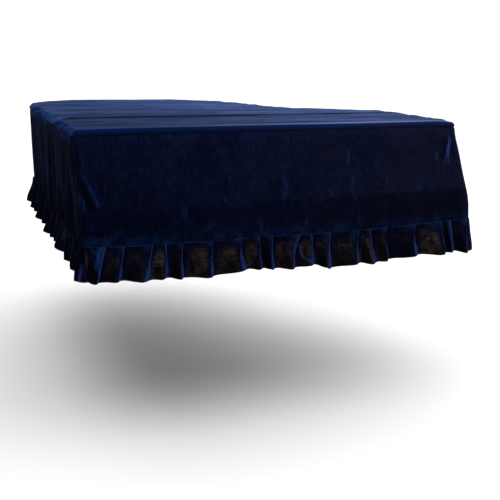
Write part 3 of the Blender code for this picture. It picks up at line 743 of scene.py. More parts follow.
def foot_relief(s, front_run):
    """Fine folds at the foot of the skirt, which the head of the ruffle follows."""
    edge = EDGE.place(s)
    drop = SEAM_DROP + seam_sag(edge[:, 0], edge[:, 1])
    out = streaks(s, drop)
    for row in FRONT_CREASES:
        out = out + ridge(front_run, drop, *row)
    return out


def build_ruffle():
    head = [-0.030, -0.012, 0.0015, 0.010, 0.020, 0.036, 0.060]
    levels = np.array(head + list(np.linspace(0.095, 0.955, 17)) + [0.978, 0.990, 1.0])
    rows, masks, panel_rows, warm_reflection_rows, ways, edge_rows, run_rows, bass_rows = [], [], [], [], [], [], [], []
    crest_rows = []
    deep, deep_before = PLEATS[:, 4], np.roll(PLEATS[:, 4], 1)
    warm_reflection = PLEATS[:, 7]
    for t in levels:
        sec, edge, before = ruffle_section(float(t))
        s, stand = sec[..., 0], sec[..., 1]
        f = np.clip((s - before[:, None]) / (edge - before)[:, None], -0.2, 1.0)
        depth = deep_before[:, None] + (deep - deep_before)[:, None] * smoothstep(np.clip(f, 0, 1))
        dip = 0.0010 * np.exp(-(((0.80 - np.clip(f, 0, 1)) / 0.14) ** 2)) - 0.0016 * np.sin(
            math.pi * np.clip(f * 1.35, 0, 1)
        ) - 0.0012 * np.exp(-(((1.0 - np.clip(f, 0, 1)) / 0.08) ** 2))
        # what stands out hangs a little shorter
        short = 0.85 * np.clip(stand, 0, None) ** 2 / depth
        depth = depth + (dip - short) * max(t, 0)
        s, stand, f = s.reshape(-1), stand.reshape(-1), f.reshape(-1)
        plan_edge = EDGE.place(s)
        drop = SEAM_DROP + seam_sag(plan_edge[:, 0], plan_edge[:, 1]) + SEAM_GAP + depth.reshape(-1) * t
        plan, out = section(s, drop)
        u = np.where(s > EDGE.starts[2], run_distance(s, 0.0) + BASS_CORNER_R, s + BASS_CORNER_R)
        down = max(t, 0)
        body = skirt_relief(s, np.array(SEAM_DROP)) * (1 - 0.6 * down) + foot_relief(s, u) * math.exp(-down / 0.12)
        # the gathered head comes out from behind the skirt's foot and rounds over
        out_share = smoothstep(np.array((t - 0.001) / 0.030))
        lift = (stand * (0.30 + 0.70 * smoothstep(np.array(t / 0.10))) + HEAD_BULGE) * out_share - TUCK_BEHIND * (1 - out_share)
        extra = np.zeros_like(s)
        for ax, ad, bx, bd, height, half in RUFFLE_CREASES:
            k = 0.114
            extra += ridge(u, np.full_like(u, t * k), ax, ad * k, bx, bd * k, height, half)
        crest_rows.append(np.clip(extra / 0.0090, 0, 1))
        gathers = np.sin(u * 260 + 3 * np.sin(u * 31)) + 0.7 * np.sin(u * 167 + 2 * np.sin(u * 23))
        extra += 0.0008 * gathers * math.exp(-down / 0.16)
        extra += 0.0011 * np.sin(u * 84 + 2.1 * np.sin(u * 19) + 9 * down) * down
        p = plan + out * (lift + body + extra * out_share)[:, None]
        rows.append(np.stack([p[:, 0] - ORIGIN_X, p[:, 1] - ORIGIN_Y, -drop], axis=-1))
        panel_rows.append(f)
        warm_reflection_rows.append(np.repeat(warm_reflection, PLEAT_STEPS))
        masks.append(np.full_like(s, down))
        run_rows.append(s)
        bass_rows.append(bass_side(s))
        ways.append(np.stack([-out[:, 1], out[:, 0]], axis=-1) * highlight_way(np.mod(s, EDGE.length))[:, None])
        # mask of the painted highlight along each pleat's folded edge
        reach = PLEATS[:, 5] + (0.65 * PLEATS[:, 6] - PLEATS[:, 5]) * float(smoothstep((down - 0.20) * 1.3))
        edge_rows.append(
            smoothstep((sec[..., 0] - (edge - reach)[:, None]) / (0.30 * reach + 0.0015)[:, None]).reshape(-1)
            * np.clip(highlight_way(np.mod(s, EDGE.length)), 0.15, 1)
        )
    pts = np.array(rows)
    uv = np.stack([np.array(run_rows), -np.array(masks) * RUFFLE_DEEP], axis=-1)
    extras = {"down": np.array(masks), "panel": np.array(panel_rows), "warm_reflection": np.array(warm_reflection_rows)}
    extras["shoulder"] = np.array(edge_rows)
    extras["bass"] = np.array(bass_rows)
    extras["corner"] = smoothstep(1.4 - np.abs(run_distance(np.array(run_rows), EDGE.on("bass", 0.10))) / 0.24)
    extras["crest_highlight"] = np.array(crest_rows)
    return cloth_object("velvet_ruffle", pts, True, uv, extras, thick=0.0013, way=np.array(ways))


# ---------------------------------------------------------------- the top
def roll_width(s):
    """Width of the roll over the lid's edge: soft and wide on the bass side."""
    s = np.mod(s, EDGE.length)
    bass = smoothstep((s - (EDGE.starts[5] - 1.45)) / 0.25) * smoothstep((EDGE.length - 0.004 - s) / 0.06)
    return RIM_R + BASS_ROLL * bass


def top_height(x, y):
    out = np.zeros_like(x)
    for ax, ay, bx, by, high, before, behind in TOP_CREASES:
        length = math.hypot(bx - ax, by - ay)
        tx, ty = (bx - ax) / length, (by - ay) / length
        along = (x - ax) * tx + (y - ay) * ty
        off = -(x - ax) * ty + (y - ay) * tx
        width = np.where(off < 0, before, behind)
        ends = smoothstep(along / 0.06 + 0.2) * smoothstep((length - along) / 0.06 + 0.2)
        out = out + high * ends * np.exp(-((off / width) ** 2))
    for rise, kx, ky, phase in TOP_SLACK:
        out = out + rise * (1 + np.sin(2 * math.pi * (kx * x + ky * y) + phase))
    # the cloth rolls softly over the bass edge, gathered into small puckers
    near = np.exp(-((x - RIM_R) / 0.030)) * smoothstep((1.5 - y) / 0.3)
    pucker = np.sin(2 * math.pi * y / 0.043 + 1.6 * np.sin(y * 17)) + 0.8 * np.sin(2 * math.pi * y / 0.071 + 2.0 * np.sin(y * 11))
    return out + near * (0.0011 * pucker - 0.0022)


def build_top():
    # run lengths where the two sides of the grid start and where they meet at the tail
    probe = np.linspace(EDGE.starts[3], EDGE.starts[4], 4000)
    apex = probe[np.argmax(EDGE.place(probe)[:, 1])]
    right_start = (EDGE.starts[1] + EDGE.starts[2]) / 2
    left_start = (EDGE.starts[5] + EDGE.length) / 2
    right_crease = EDGE.starts[3] + 0.030
    left_crease = EDGE.on("bass", 0.463)
    # rows: share of the grid, then the run on each side. The lid-flap crease lies along one row.
    rows = []
    for part, (r0, r1), (l0, l1), n, bias in (
        ("front", (right_start, right_crease), (left_start, left_crease), 48, "end"),
        ("back", (right_crease, apex - 0.018), (left_crease, apex + 0.018), 128, "start"),
    ):
        k = np.linspace(0, 1, n, endpoint=part == "back")
        if bias == "end":
            k = 1 - (1 - k) ** 1.25
        else:
            k = k**1.18
        for v in k:
            rows.append((r0 + (r1 - r0) * v, l0 + (l1 - l0) * v))
    rows = np.array(rows)
    cols = 190
    u = np.linspace(0, 1, cols)
    inset_r = EDGE.place(rows[:, 0]) - EDGE.outward(rows[:, 0]) * roll_width(rows[:, 0])[:, None]
    inset_l = EDGE.place(rows[:, 1]) - EDGE.outward(rows[:, 1]) * roll_width(rows[:, 1])[:, None]
    grid = inset_l[:, None, :] * (1 - u)[None, :, None] + inset_r[:, None, :] * u[None, :, None]
    # first and last rows follow the edge itself
    s_front = left_start + (EDGE.length + right_start - left_start) * u
    s_tail = rows[-1, 1] + (rows[-1, 0] - rows[-1, 1]) * u
    front_line = EDGE.place(s_front) - EDGE.outward(s_front) * roll_width(s_front)[:, None]
    tail_line = EDGE.place(s_tail) - EDGE.outward(s_tail) * roll_width(s_tail)[:, None]
    shift_f, shift_t = front_line - grid[0], tail_line - grid[-1]
    n = len(rows)
    fade_f = np.clip(1 - np.arange(n) / 10, 0, 1) ** 2
    fade_t = np.clip(1 - np.arange(n)[::-1] / 10, 0, 1) ** 2
    grid = grid + fade_f[:, None, None] * shift_f + fade_t[:, None, None] * shift_t
    x, y = grid[..., 0], grid[..., 1]
    z = CLOTH + top_height(x, y)
    surface = np.stack([x - ORIGIN_X, y - ORIGIN_Y, z], axis=-1)
    # boundary loop, anticlockwise from the bass-front corner
    loop_ix = (
        [(0, j) for j in range(cols)]
        + [(i, cols - 1) for i in range(1, n)]
        + [(n - 1, j) for j in range(cols - 2, -1, -1)]
        + [(i, 0) for i in range(n - 2, 0, -1)]
    )
    loop_s = np.concatenate([s_front, rows[1:, 0], s_tail[::-1][1:], rows[::-1, 1][1:-1]])
    loop = np.array(loop_ix)
    z_edge = z[loop[:, 0], loop[:, 1]] - CLOTH
    edge, out = EDGE.place(loop_s), EDGE.outward(loop_s)
    bass = smoothstep((run_distance(loop_s, EDGE.on("bass", 0.75)) + 0.80) / 0.1) * smoothstep(
        (0.75 - run_distance(loop_s, EDGE.on("bass", 0.75))) / 0.1
    )
    pucker = np.sin(loop_s * 2 * math.pi / 0.061 + 1.3 * np.sin(loop_s * 9.1)) + 0.6 * np.sin(
        loop_s * 2 * math.pi / 0.034 + 2.2 * np.sin(loop_s * 14.3)
    )
    wide = roll_width(loop_s)[:, None]
    rings = []
    for deg in (9, 18, 28, 39, 50, 62, 75, 90):
        a = math.radians(deg)
        plan = edge - out * (wide * (1 - math.sin(a)))
        zz = CLOTH - RIM_R + RIM_R * math.cos(a) + z_edge * math.cos(a)
        swell = 0.0016 * bass * pucker * math.sin(a * 1.6)
        rings.append(np.column_stack([plan + out * swell[:, None], zz]))
    for zz, tuck in ((-RIM_DROP + 0.0012, 0.0002), (-RIM_DROP, 0.0009)):
        rings.append(np.column_stack([edge - out * tuck, np.full(len(edge), zz)]))
    rings = np.array(rings)
    rings[..., 0] -= ORIGIN_X
    rings[..., 1] -= ORIGIN_Y
    return surface, loop, rings, loop_s


ROLL_START = 2  # first ring of the roll that carries the edge's own look


def top_object():
    surface, loop, rings, loop_s = build_top()
    rows, cols = surface.shape[:2]
    n_grid, n_loop = rows * cols, len(loop)
    outer = np.vstack([surface.reshape(-1, 3), rings.reshape(-1, 3)])
    r, c = np.meshgrid(np.arange(rows - 1), np.arange(cols - 1), indexing="ij")
    p = r * cols + c
    quads = [np.stack([p, p + 1, p + cols + 1, p + cols], -1).reshape(-1, 4)]
    first = loop[:, 0] * cols + loop[:, 1]
    k = np.arange(n_loop)
    nxt = (k + 1) % n_loop
    upper = first
    for i in range(len(rings)):
        lower = n_grid + i * n_loop + k
        quads.append(np.stack([upper, lower, lower[nxt], upper[nxt]], -1))
        upper = lower
    quads = np.vstack(quads)
    # normals of the outer face, for the back of the cloth
    normal = np.zeros_like(outer)
    a, b, d = outer[quads[:, 0]], outer[quads[:, 1]], outer[quads[:, 3]]
    face = np.cross(b - a, d - a)
    for i in range(4):
        np.add.at(normal, quads[:, i], face)
    normal /= np.maximum(np.linalg.norm(normal, axis=1, keepdims=True), 1e-12)
    inner = outer - 0.0016 * normal
    n = len(outer)
    last = n_grid + (len(rings) - 1) * n_loop + k
    rim = np.stack([last, last + n, last[nxt] + n, last[nxt]], -1)
    faces = np.vstack([quads, quads[:, ::-1] + n, rim])
    verts = np.vstack([outer, inner])
    mesh = bpy.data.meshes.new("velvet_top")
    mesh.vertices.add(len(verts))
    mesh.vertices.foreach_set("co", verts.astype(np.float32).ravel())
    mesh.loops.add(faces.size)
    mesh.loops.foreach_set("vertex_index", faces.astype(np.int32).ravel())
    mesh.polygons.add(len(faces))
    mesh.polygons.foreach_set("loop_start", np.arange(0, faces.size, 4, dtype=np.int32))
    mesh.polygons.foreach_set("loop_total", np.full(len(faces), 4, np.int32))
    index = np.zeros(len(faces), np.int32)
    index[len(quads) : 2 * len(quads)] = 1
    index[len(quads) - (len(rings) - ROLL_START) * n_loop : len(quads)] = 2
    mesh.polygons.foreach_set("material_index", index)
    mesh.update(calc_edges=True)
    mesh.validate()
    uv = np.vstack([verts[:, :2]])
    layer = mesh.uv_layers.new(name="cloth")
    corner = np.zeros(len(mesh.loops), np.int32)
    mesh.loops.foreach_get("vertex_index", corner)
    layer.data.foreach_set("uv", uv[corner].astype(np.float32).ravel())
    near = np.zeros(n)
    near[n_grid:] = np.repeat(np.linspace(0.2, 1, len(rings)), n_loop)
    px, py = outer[:, 0] + ORIGIN_X, outer[:, 1] + ORIGIN_Y
    facing = np.clip(-normal[:, 1], 0, 1) * (np.arange(n) < n_grid)
    keyboard = smoothstep((px - py + 0.010) / 0.022) * smoothstep((0.030 - py) / 0.016)
    bass_band = np.clip(1 - px / 0.064, 0, 1) * smoothstep((1.62 - py) / 0.2)
    bass_roll = smoothstep((0.060 - px) / 0.02) * smoothstep((1.60 - py) / 0.2) * smoothstep((py - 0.004) / 0.02)
    # painted shade toward the bass end of the keyboard flap, and painted light toward the tail
    dim = (1 - smoothstep((px - 0.12) / 0.62)) * (1 - 0.62 * smoothstep((py - 0.37) / 0.40))
    painted_light_tone = 1.0 - 0.56 * dim + 0.26 * smoothstep((py - 0.45) / 0.60)
    # painted shade: the keyboard flap dips darker about its middle; painted light: behind it the bent side is lighter
    # than the bass side
    flap_tone = 1.0 - 0.32 * np.exp(-(((px - 0.62) / 0.29) ** 2)) + 0.05 * smoothstep((px - 1.0) / 0.15)
    lighter_from = 0.50 - 0.25 * smoothstep((py - 0.6) / 0.7)
    back_tone = 0.79 + 0.42 * smoothstep((px - lighter_from) / 0.55)
    painted_light_tone = painted_light_tone * (flap_tone + (back_tone - flap_tone) * smoothstep((py - 0.40) / 0.10))
    far = smoothstep((px - 0.10) / 1.20)
    lip_highlight = (np.arange(n) < n_grid) * smoothstep((0.060 - py) / 0.034) * smoothstep((px - 0.10) / 0.9) * 0.80
    for key, value in (
        ("down", near), ("keyboard", keyboard), ("bass_band", bass_band), ("bass_roll", bass_roll),
        ("facing", facing), ("painted_light_tone", painted_light_tone), ("lip_highlight", lip_highlight), ("far", far),
    ):
        attribute = mesh.attributes.new(key, "FLOAT", "POINT")
        attribute.data.foreach_set("value", np.tile(value, 2).astype(np.float32))
    mesh.shade_smooth()
    obj = bpy.data.objects.new("velvet_top", mesh)
    bpy.context.scene.collection.objects.link(obj)
    return obj


# ================================================================ materials
class Nodes:
    """Short calls for building a node tree."""

    def __init__(self, name):
        self.material = bpy.data.materials.new(name)
        self.material.use_nodes = True
        self.tree = self.material.node_tree
        self.shader = self.tree.nodes["Principled BSDF"]

    def add(self, kind, **settings):
        node = self.tree.nodes.new(kind)
        for key, value in settings.items():
            setattr(node, key, value)
        return node

    def link(self, a, b):
        self.tree.links.new(a, b)

    def coords(self):
        return self.add("ShaderNodeUVMap", uv_map="cloth").outputs["UV"]

    def place(self):
        return self.add("ShaderNodeTexCoord").outputs["Object"]

    def mapped(self, vector, scale, turn=0.0):
        node = self.add("ShaderNodeMapping")
        node.inputs["Scale"].default_value = scale
        node.inputs["Rotation"].default_value = (0, 0, turn)
        self.link(vector, node.inputs["Vector"])
        return node.outputs["Vector"]

    def noise(self, vector, scale, detail=3.0, rough=0.5, distort=0.0):
        node = self.add("ShaderNodeTexNoise")
        node.inputs["Scale"].default_value = scale
        node.inputs["Detail"].default_value = detail
        node.inputs["Roughness"].default_value = rough
        node.inputs["Distortion"].default_value = distort
        self.link(vector, node.inputs["Vector"])
        return node.outputs["Fac"]

    def spot(self, vector, at, half, lean):
        """1 at a place on the laid-out cloth, falling softly to 0 at its half width and half height."""
        node = self.add("ShaderNodeMapping", vector_type="TEXTURE")
        node.inputs["Location"].default_value = (*at, 0)
        node.inputs["Rotation"].default_value = (0, 0, lean)
        node.inputs["Scale"].default_value = (*half, 1)
        self.link(vector, node.inputs["Vector"])
        ball = self.add("ShaderNodeTexGradient", gradient_type="SPHERICAL")
        self.link(node.outputs["Vector"], ball.inputs["Vector"])
        return self.level(ball.outputs["Fac"], 0.0, 0.75)

    def ramp(self, value, stops):
        node = self.add("ShaderNodeValToRGB")
        ramp = node.color_ramp
        while len(ramp.elements) < len(stops):
            ramp.elements.new(0.5)
        for element, (at, colour) in zip(ramp.elements, stops):
            element.position = at
            element.color = (*colour, 1) if len(colour) == 3 else colour
        self.link(value, node.inputs["Fac"])
        return node.outputs["Color"]

    def level(self, value, low, high, out_low=0.0, out_high=1.0):
        node = self.add("ShaderNodeMapRange", interpolation_type="SMOOTHSTEP")
        for key, v in (("From Min", low), ("From Max", high), ("To Min", out_low), ("To Max", out_high)):
            node.inputs[key].default_value = v
        self.link(value, node.inputs["Value"])
        return node.outputs["Result"]

    def math(self, kind, a, b=None):
        node = self.add("ShaderNodeMath", operation=kind)
        for i, v in enumerate((a, b)):
            if v is None:
                continue
            if isinstance(v, (int, float)):
                node.inputs[i].default_value = v
            else:
                self.link(v, node.inputs[i])
        return node.outputs[0]

    def mix(self, factor, a, b, kind="MIX"):
        node = self.add("ShaderNodeMix", data_type="RGBA", blend_type=kind)
        for key, v in (("Factor", factor), ("A", a), ("B", b)):
            socket = [s for s in node.inputs if s.name == key and s.enabled][0]
            if isinstance(v, (int, float)):
                socket.default_value = v
            elif isinstance(v, tuple):
                socket.default_value = (*v, 1)
            else:
                self.link(v, socket)
        return [s for s in node.outputs if s.enabled][0]

    def attribute(self, name):
        return self.add("ShaderNodeAttribute", attribute_name=name).outputs["Fac"]

    def bump(self, height, strength, distance, normal=None):
        node = self.add("ShaderNodeBump")
        node.inputs["Strength"].default_value = strength
        node.inputs["Distance"].default_value = distance
        self.link(height, node.inputs["Height"])
        if normal is not None:
            self.link(normal, node.inputs["Normal"])
        return node.outputs["Normal"]


    def leaning(self, normal, lean):
        """The pile's own direction: the cloth's normal leaning along the run of the cloth."""
        along = self.add("ShaderNodeTangent", direction_type="UV_MAP", uv_map="cloth").outputs["Tangent"]
        scaled = self.add("ShaderNodeVectorMath", operation="SCALE")
        scaled.inputs["Scale"].default_value = lean
        self.link(along, scaled.inputs[0])
        total = self.add("ShaderNodeVectorMath", operation="ADD")
        self.link(normal, total.inputs[0])
        self.link(scaled.outputs["Vector"], total.inputs[1])
        unit = self.add("ShaderNodeVectorMath", operation="NORMALIZE")
        self.link(total.outputs["Vector"], unit.inputs[0])
        return unit.outputs["Vector"]


def set_look(shader, sheen, tint, sheen_rough, level, ior=1.45):
    shader.inputs["Sheen Weight"].default_value = sheen
    shader.inputs["Sheen Tint"].default_value = (*tint, 1)
    shader.inputs["Sheen Roughness"].default_value = sheen_rough
    shader.inputs["Specular IOR Level"].default_value = level
    shader.inputs["IOR"].default_value = ior


def bass_shade_strokes(n, uv, look, turn=False):
    """The bass side's painted shade, as it faces away from the light: greyer than the rest, in fine upright strokes
    with bluer ones among them.
    """
    coarse_at, close_at, tint_at = (24.0, 1.3, 1.0), (70.0, 4.0, 1.0), (9.0, 3.2, 1.0)
    if turn:
        coarse_at, close_at, tint_at = ((v, u, 1.0) for u, v, _ in (coarse_at, close_at, tint_at))
    coarse = n.noise(n.mapped(uv, coarse_at), 1.0, 2.0, 0.5)
    close = n.noise(n.mapped(uv, close_at), 1.0, 2.0, 0.6)
    thread = n.level(n.math("ADD", n.math("MULTIPLY", coarse, 0.50), n.math("MULTIPLY", close, 0.50)), 0.43, 0.56)
    side = n.mix(thread, look["streaky_shade"][0], look["streaky_shade"][1])
    tinted = n.level(n.noise(n.mapped(uv, tint_at), 1.0, 3.0, 0.6), 0.48, 0.66, 0.0, 0.75)
    return n.mix(n.math("MULTIPLY", tinted, thread), side, look["streaky_shade_blue"])


def velvet(name, look):
    """Pile fabric: dark seen into the pile, with painted blue highlights and painted shade in its colour, fine pile
    grain and slack.
    """
    n = Nodes(name)
    uv = n.coords()
    stretch = look["patches"]
    # brushed patches, drawn out along the nap
    patch = n.noise(n.mapped(uv, stretch), 1.0, 4.0, 0.65, 0.15)
    patch_fine = n.noise(n.mapped(uv, tuple(5.2 * v for v in stretch)), 1.0, 3.0, 0.65, 0.1)
    fine = look["fine"]
    mixed = n.math("ADD", n.math("MULTIPLY", patch, 1 - fine), n.math("MULTIPLY", patch_fine, fine))
    amount = n.level(mixed, *look["levels"])
    deep, body = look["deep"], look["body"]
    if "across" in look:
        # bluer toward the bass end and greyer toward the treble end, with the pile wandering between the two
        wander = n.level(n.noise(n.mapped(uv, (4.5, 5.5, 1.0)), 1.0, 4.0, 0.6), 0.30, 0.70, -0.22, 0.22)
        way = n.math("ADD", n.attribute("across"), wander)
        deep = n.ramp(way, tuple(zip(look["across"], look["deeps"])))
        body = n.ramp(way, tuple(zip(look["across"], look["bodies"])))
    colour = n.mix(amount, deep, body)
    if "weave" in look:
        upright = n.noise(n.mapped(uv, (130.0, 34.0, 1.0)), 1.0, 2.0, 0.6)
        level = n.noise(n.mapped(uv, (30.0, 150.0, 1.0)), 1.0, 2.0, 0.6)
        threads = n.math("ADD", n.math("MULTIPLY", upright, 0.62), n.math("MULTIPLY", level, 0.38))
        low, high = look["weave"]
        threads = n.ramp(threads, ((0.36, (low, low, low)), (0.64, (high, high, high))))
        colour = n.mix(1.0, colour, threads, "MULTIPLY")
        lit = n.math("SUBTRACT", 1.0, n.attribute("under"))
        # painted light: just below the roll, off the bass side, the skirt is painted lighter
        opened = n.math("MULTIPLY", n.level(n.attribute("down"), 0.13, 0.0, 0.0, 0.50), n.level(n.attribute("bass"), 0.5, 0.0))
        lit = n.math("ADD", lit, opened)
        colour = n.mix(1.0, colour, lit, "MULTIPLY")
    if "crest_highlight" in look:
        # painted highlight along the small ridges of the cloth
        opened = n.level(n.attribute("crest_highlight"), 0.25, 1.0, 0.0, look["crest_highlight"][0])
        broken = n.level(n.noise(n.mapped(uv, (110.0, 40.0, 1.0)), 1.0, 3.0, 0.65), 0.36, 0.60)
        colour = n.mix(n.math("MULTIPLY", opened, broken), colour, look["crest_highlight"][1])
    if "foot" in look:
        bright_marks = n.level(n.noise(n.mapped(uv, (20.0, 16.0, 1.0)), 1.0, 4.0, 0.65), 0.42, 0.64, 0.05, 0.85)
        bright_marks = n.math("MULTIPLY", bright_marks, n.level(n.attribute("across"), 0.30, 1.0, 1.0, 0.35))
        near_foot = n.math("MULTIPLY", n.level(n.attribute("down"), 0.86, 1.0), bright_marks)
        colour = n.mix(near_foot, colour, look["foot"])
    if "streaky_shade_fade" in look:
        # painted shade: the bass side is painted darker toward its foot
        side = bass_shade_strokes(n, uv, look)
        side = n.mix(n.level(n.attribute("down"), *look["streaky_shade_fade"]), side, look["streaky_shade_foot"])
        if "neck_sheen" in look:
            # painted sheen: just below the roll the side is painted bluer, in patches, carrying on from the roll
            patchy = n.level(n.noise(n.mapped(uv, (7.0, 16.0, 1.0)), 1.0, 3.0, 0.6), 0.40, 0.60, 0.10, 0.95)
            side = n.mix(n.math("MULTIPLY", n.level(n.attribute("down"), 0.110, -0.01), patchy), side, look["neck_sheen"])
        side = n.mix(n.math("MULTIPLY", n.attribute("corner"), 0.55), side, look["streaky_shade_foot"])
        if "tan_streak_highlight" in look:
            # painted highlights: tan streaks on the folds of the bass side
            tan_highlight = n.level(n.noise(n.mapped(uv, (70.0, 9.0, 1.0)), 1.0, 3.0, 0.6), 0.58, 0.70, 0.0, 0.8)
            side = n.mix(tan_highlight, side, look["tan_streak_highlight"])
        colour = n.mix(n.attribute("bass"), colour, side)
    streak = n.level(n.noise(n.mapped(uv, look["strokes"]), 1.0, 3.0, 0.55, 0.3), 0.56, 0.78, 0.0, look["stroke_share"])
    colour = n.mix(streak, colour, look["bright"])
    if "warm_reflection" in look:
        panel, down, warm_reflection = n.attribute("panel"), n.attribute("down"), n.attribute("warm_reflection")
        middle = n.math("MULTIPLY", n.level(panel, 0.06, 0.40), n.level(panel, 0.92, 0.66))
        lower = n.math("MULTIPLY", n.level(down, 0.08, 0.40), n.level(down, 1.05, 0.90))
        cloud = n.level(n.noise(n.mapped(uv, (28.0, 15.0, 1.0)), 1.0, 4.0, 0.6, 0.1), 0.38, 0.58, 0.20, 1.0)
        warm_patch = n.math("MULTIPLY", n.math("MULTIPLY", middle, lower), n.math("MULTIPLY", cloud, warm_reflection))
        # painted reflection of the warm floor: browner or greener from place to place, and finely wrinkled across
        hue = n.level(n.noise(n.mapped(uv, (7.0, 5.0, 1.0)), 1.0, 3.0, 0.6), 0.42, 0.58)
        reflected_tint = n.mix(hue, look["warm_reflection"], look["warm_reflection_green"])
        wrinkle = n.noise(n.mapped(uv, (34.0, 105.0, 1.0), 0.30), 1.0, 3.0, 0.65, 0.7)
        wrinkle = n.ramp(wrinkle, ((0.38, (0.34, 0.34, 0.36)), (0.62, (1.55, 1.50, 1.45))))
        colour = n.mix(warm_patch, colour, n.mix(1.0, reflected_tint, wrinkle, "MULTIPLY"))
    if "fold_highlight" in look:
        # painted highlight: folds facing along the run of the cloth are painted lighter
        turned = n.level(n.attribute("turned"), *look["fold_highlight_from"])
        if "head" in look:
            turned = n.math("MAXIMUM", turned, n.math("MULTIPLY", n.attribute("shoulder"), 0.85))
            corner = n.math("MULTIPLY", n.level(n.attribute("down"), 0.24, 0.02), n.level(n.attribute("panel"), 0.50, 1.0))
            corner = n.math("MULTIPLY", corner, n.level(n.attribute("bass"), 0.5, 0.0, 0.05, 0.38))
            turned = n.math("MAXIMUM", turned, corner)
            turned = n.math("MAXIMUM", turned, n.level(n.attribute("crest_highlight"), 0.05, 0.80, 0.0, 0.95))
        streaky_shade = n.level(n.noise(n.mapped(uv, (150.0, 20.0, 1.0)), 1.0, 3.0, 0.6), 0.34, 0.66, 0.20, 1.0)
        colour = n.mix(n.math("MULTIPLY", turned, streaky_shade), colour, look["fold_highlight"])
        # painted shade: folds turned the other way are painted darker, less so on the bass side
        away = n.level(n.attribute("turned"), -0.10, -0.55, 0.0, 0.75)
        away = n.math("MULTIPLY", away, n.level(n.attribute("bass"), 0.0, 1.0, 1.0, 0.45))
        colour = n.mix(away, colour, tuple(0.35 * v for v in look["deep"]))
    # painted highlights in small spots, tan ones and bright blue ones
    for kind, side, where, share, across, high, lean, strong in look.get("spots", ()):
        place = n.spot(uv, (EDGE.on(side, where), -share * look["spots_deep"]), (across, high), lean)
        colour = n.mix(n.math("MULTIPLY", place, strong), colour, look[kind])
    if "head" in look:
        # painted highlight: a thin bright line along the rounded head of the ruffle at the seam, off the bass side,
        # broken by gaps
        top_edge = n.math("MULTIPLY", n.level(n.attribute("down"), 0.034, 0.010), n.level(n.attribute("bass"), 0.5, 0.0))
        gaps = n.level(n.noise(n.mapped(uv, (11.0, 0.0, 1.0)), 1.0, 3.0, 0.6), 0.40, 0.60, 0.15, 1.0)
        colour = n.mix(n.math("MULTIPLY", top_edge, gaps), colour, look["head"])
        hem = n.level(n.attribute("down"), 0.974, 0.988)
        frayed = n.level(n.noise(n.mapped(uv, (14.0, 0.0, 1.0)), 1.0, 3.0, 0.6), 0.40, 0.62, 0.3, 1.0)
        colour = n.mix(n.math("MULTIPLY", hem, frayed), colour, look["hem"])
    if "rim" in look:
        # painted highlight along the lid's edge: two fine bright lines with a band of painted shade between, lighter
        # toward the treble end; elsewhere on the roll, painted shade
        down = n.attribute("down")
        band = n.mix(n.attribute("far"), n.ramp(down, look["rim"]), n.ramp(down, look["rim_far"]))
        on_rim = n.level(down, 0.05, 0.22)
        wide, close = (n.noise(n.mapped(uv, (12.0, along, 1.0)), 1.0, 4.0, 0.6, 0.3) for along in (7.0, 25.0))
        crumpled = n.math("ADD", n.math("MULTIPLY", wide, 0.60), n.math("MULTIPLY", close, 0.40))
        crumpled = n.level(crumpled, 0.36, 0.64, 0.26, 0.72)
        # the crumpled blue of the bass roll is partly painted sheen
        roll = n.ramp(crumpled, look["roll"])
        # painted light and shade across the top
        colour = n.mix(1.0, colour, n.attribute("painted_light_tone"), "MULTIPLY")
        # on the bass side the roll melts into the strokes of the side below it
        melt = n.level(n.math("ADD", down, n.level(crumpled, 0.34, 0.66, -0.16, 0.16)), 0.42, 0.80)
        roll_down = n.mix(melt, roll, bass_shade_strokes(n, uv, look, turn=True))
        edge = n.mix(n.attribute("bass_roll"), look["rim_shade"], roll_down)
        colour = n.mix(on_rim, colour, n.mix(n.attribute("keyboard"), edge, band))
        # painted shade along the top's bass edge, in puckers, darkening toward the roll's colour
        puckers = n.level(crumpled, 0.34, 0.66, -0.55, 0.45)
        shade = n.level(n.math("ADD", n.attribute("bass_band"), puckers), 0.05, 0.75, 0.0, 0.90)
        shade = n.math("MULTIPLY", shade, n.level(n.attribute("bass_band"), 0.0, 0.20))
        shade = n.math("MULTIPLY", shade, n.math("SUBTRACT", 1.0, n.math("MULTIPLY", n.attribute("keyboard"), on_rim)))
        colour = n.mix(shade, colour, roll)
        # painted highlight on the top just behind the keyboard edge
        colour = n.mix(n.attribute("lip_highlight"), colour, look["lip_highlight"])
        # painted shade where the top's surface faces forward, as on the front of the lid-flap crease; less toward the
        # treble end
        faced = n.math("MULTIPLY", n.level(n.attribute("facing"), 0.10, 0.36, 0.0, 0.90), n.level(n.attribute("far"), 0.0, 1.0, 1.0, 0.62))
        colour = n.mix(faced, colour, look["rim_shade"])
    # fine grain of the pile
    grain = n.noise(n.mapped(uv, (1, 1, 1)), 900.0, 2.0, 0.7)
    shade = n.ramp(grain, ((0.30, (0.78, 0.78, 0.78)), (0.72, (1.30, 1.30, 1.30))))
    colour = n.mix(1.0, colour, shade, "MULTIPLY")
    n.link(colour, n.shader.inputs["Base Color"])
    n.link(n.level(mixed, 0.3, 0.7, 0.92, 0.74), n.shader.inputs["Roughness"])
    crumple = n.bump(n.noise(n.mapped(uv, look["crumple"]), 1.0, 4.0, 0.6, 0.8), 0.40, look["crumple_high"])
    pile = n.bump(grain, 0.25, 0.0006, crumple)
    n.link(n.leaning(pile, look["lean"]), n.shader.inputs["Normal"])
    set_look(n.shader, look["sheen"], look["tint"], look["sheen_rough"], look["specular"])
    return n.material


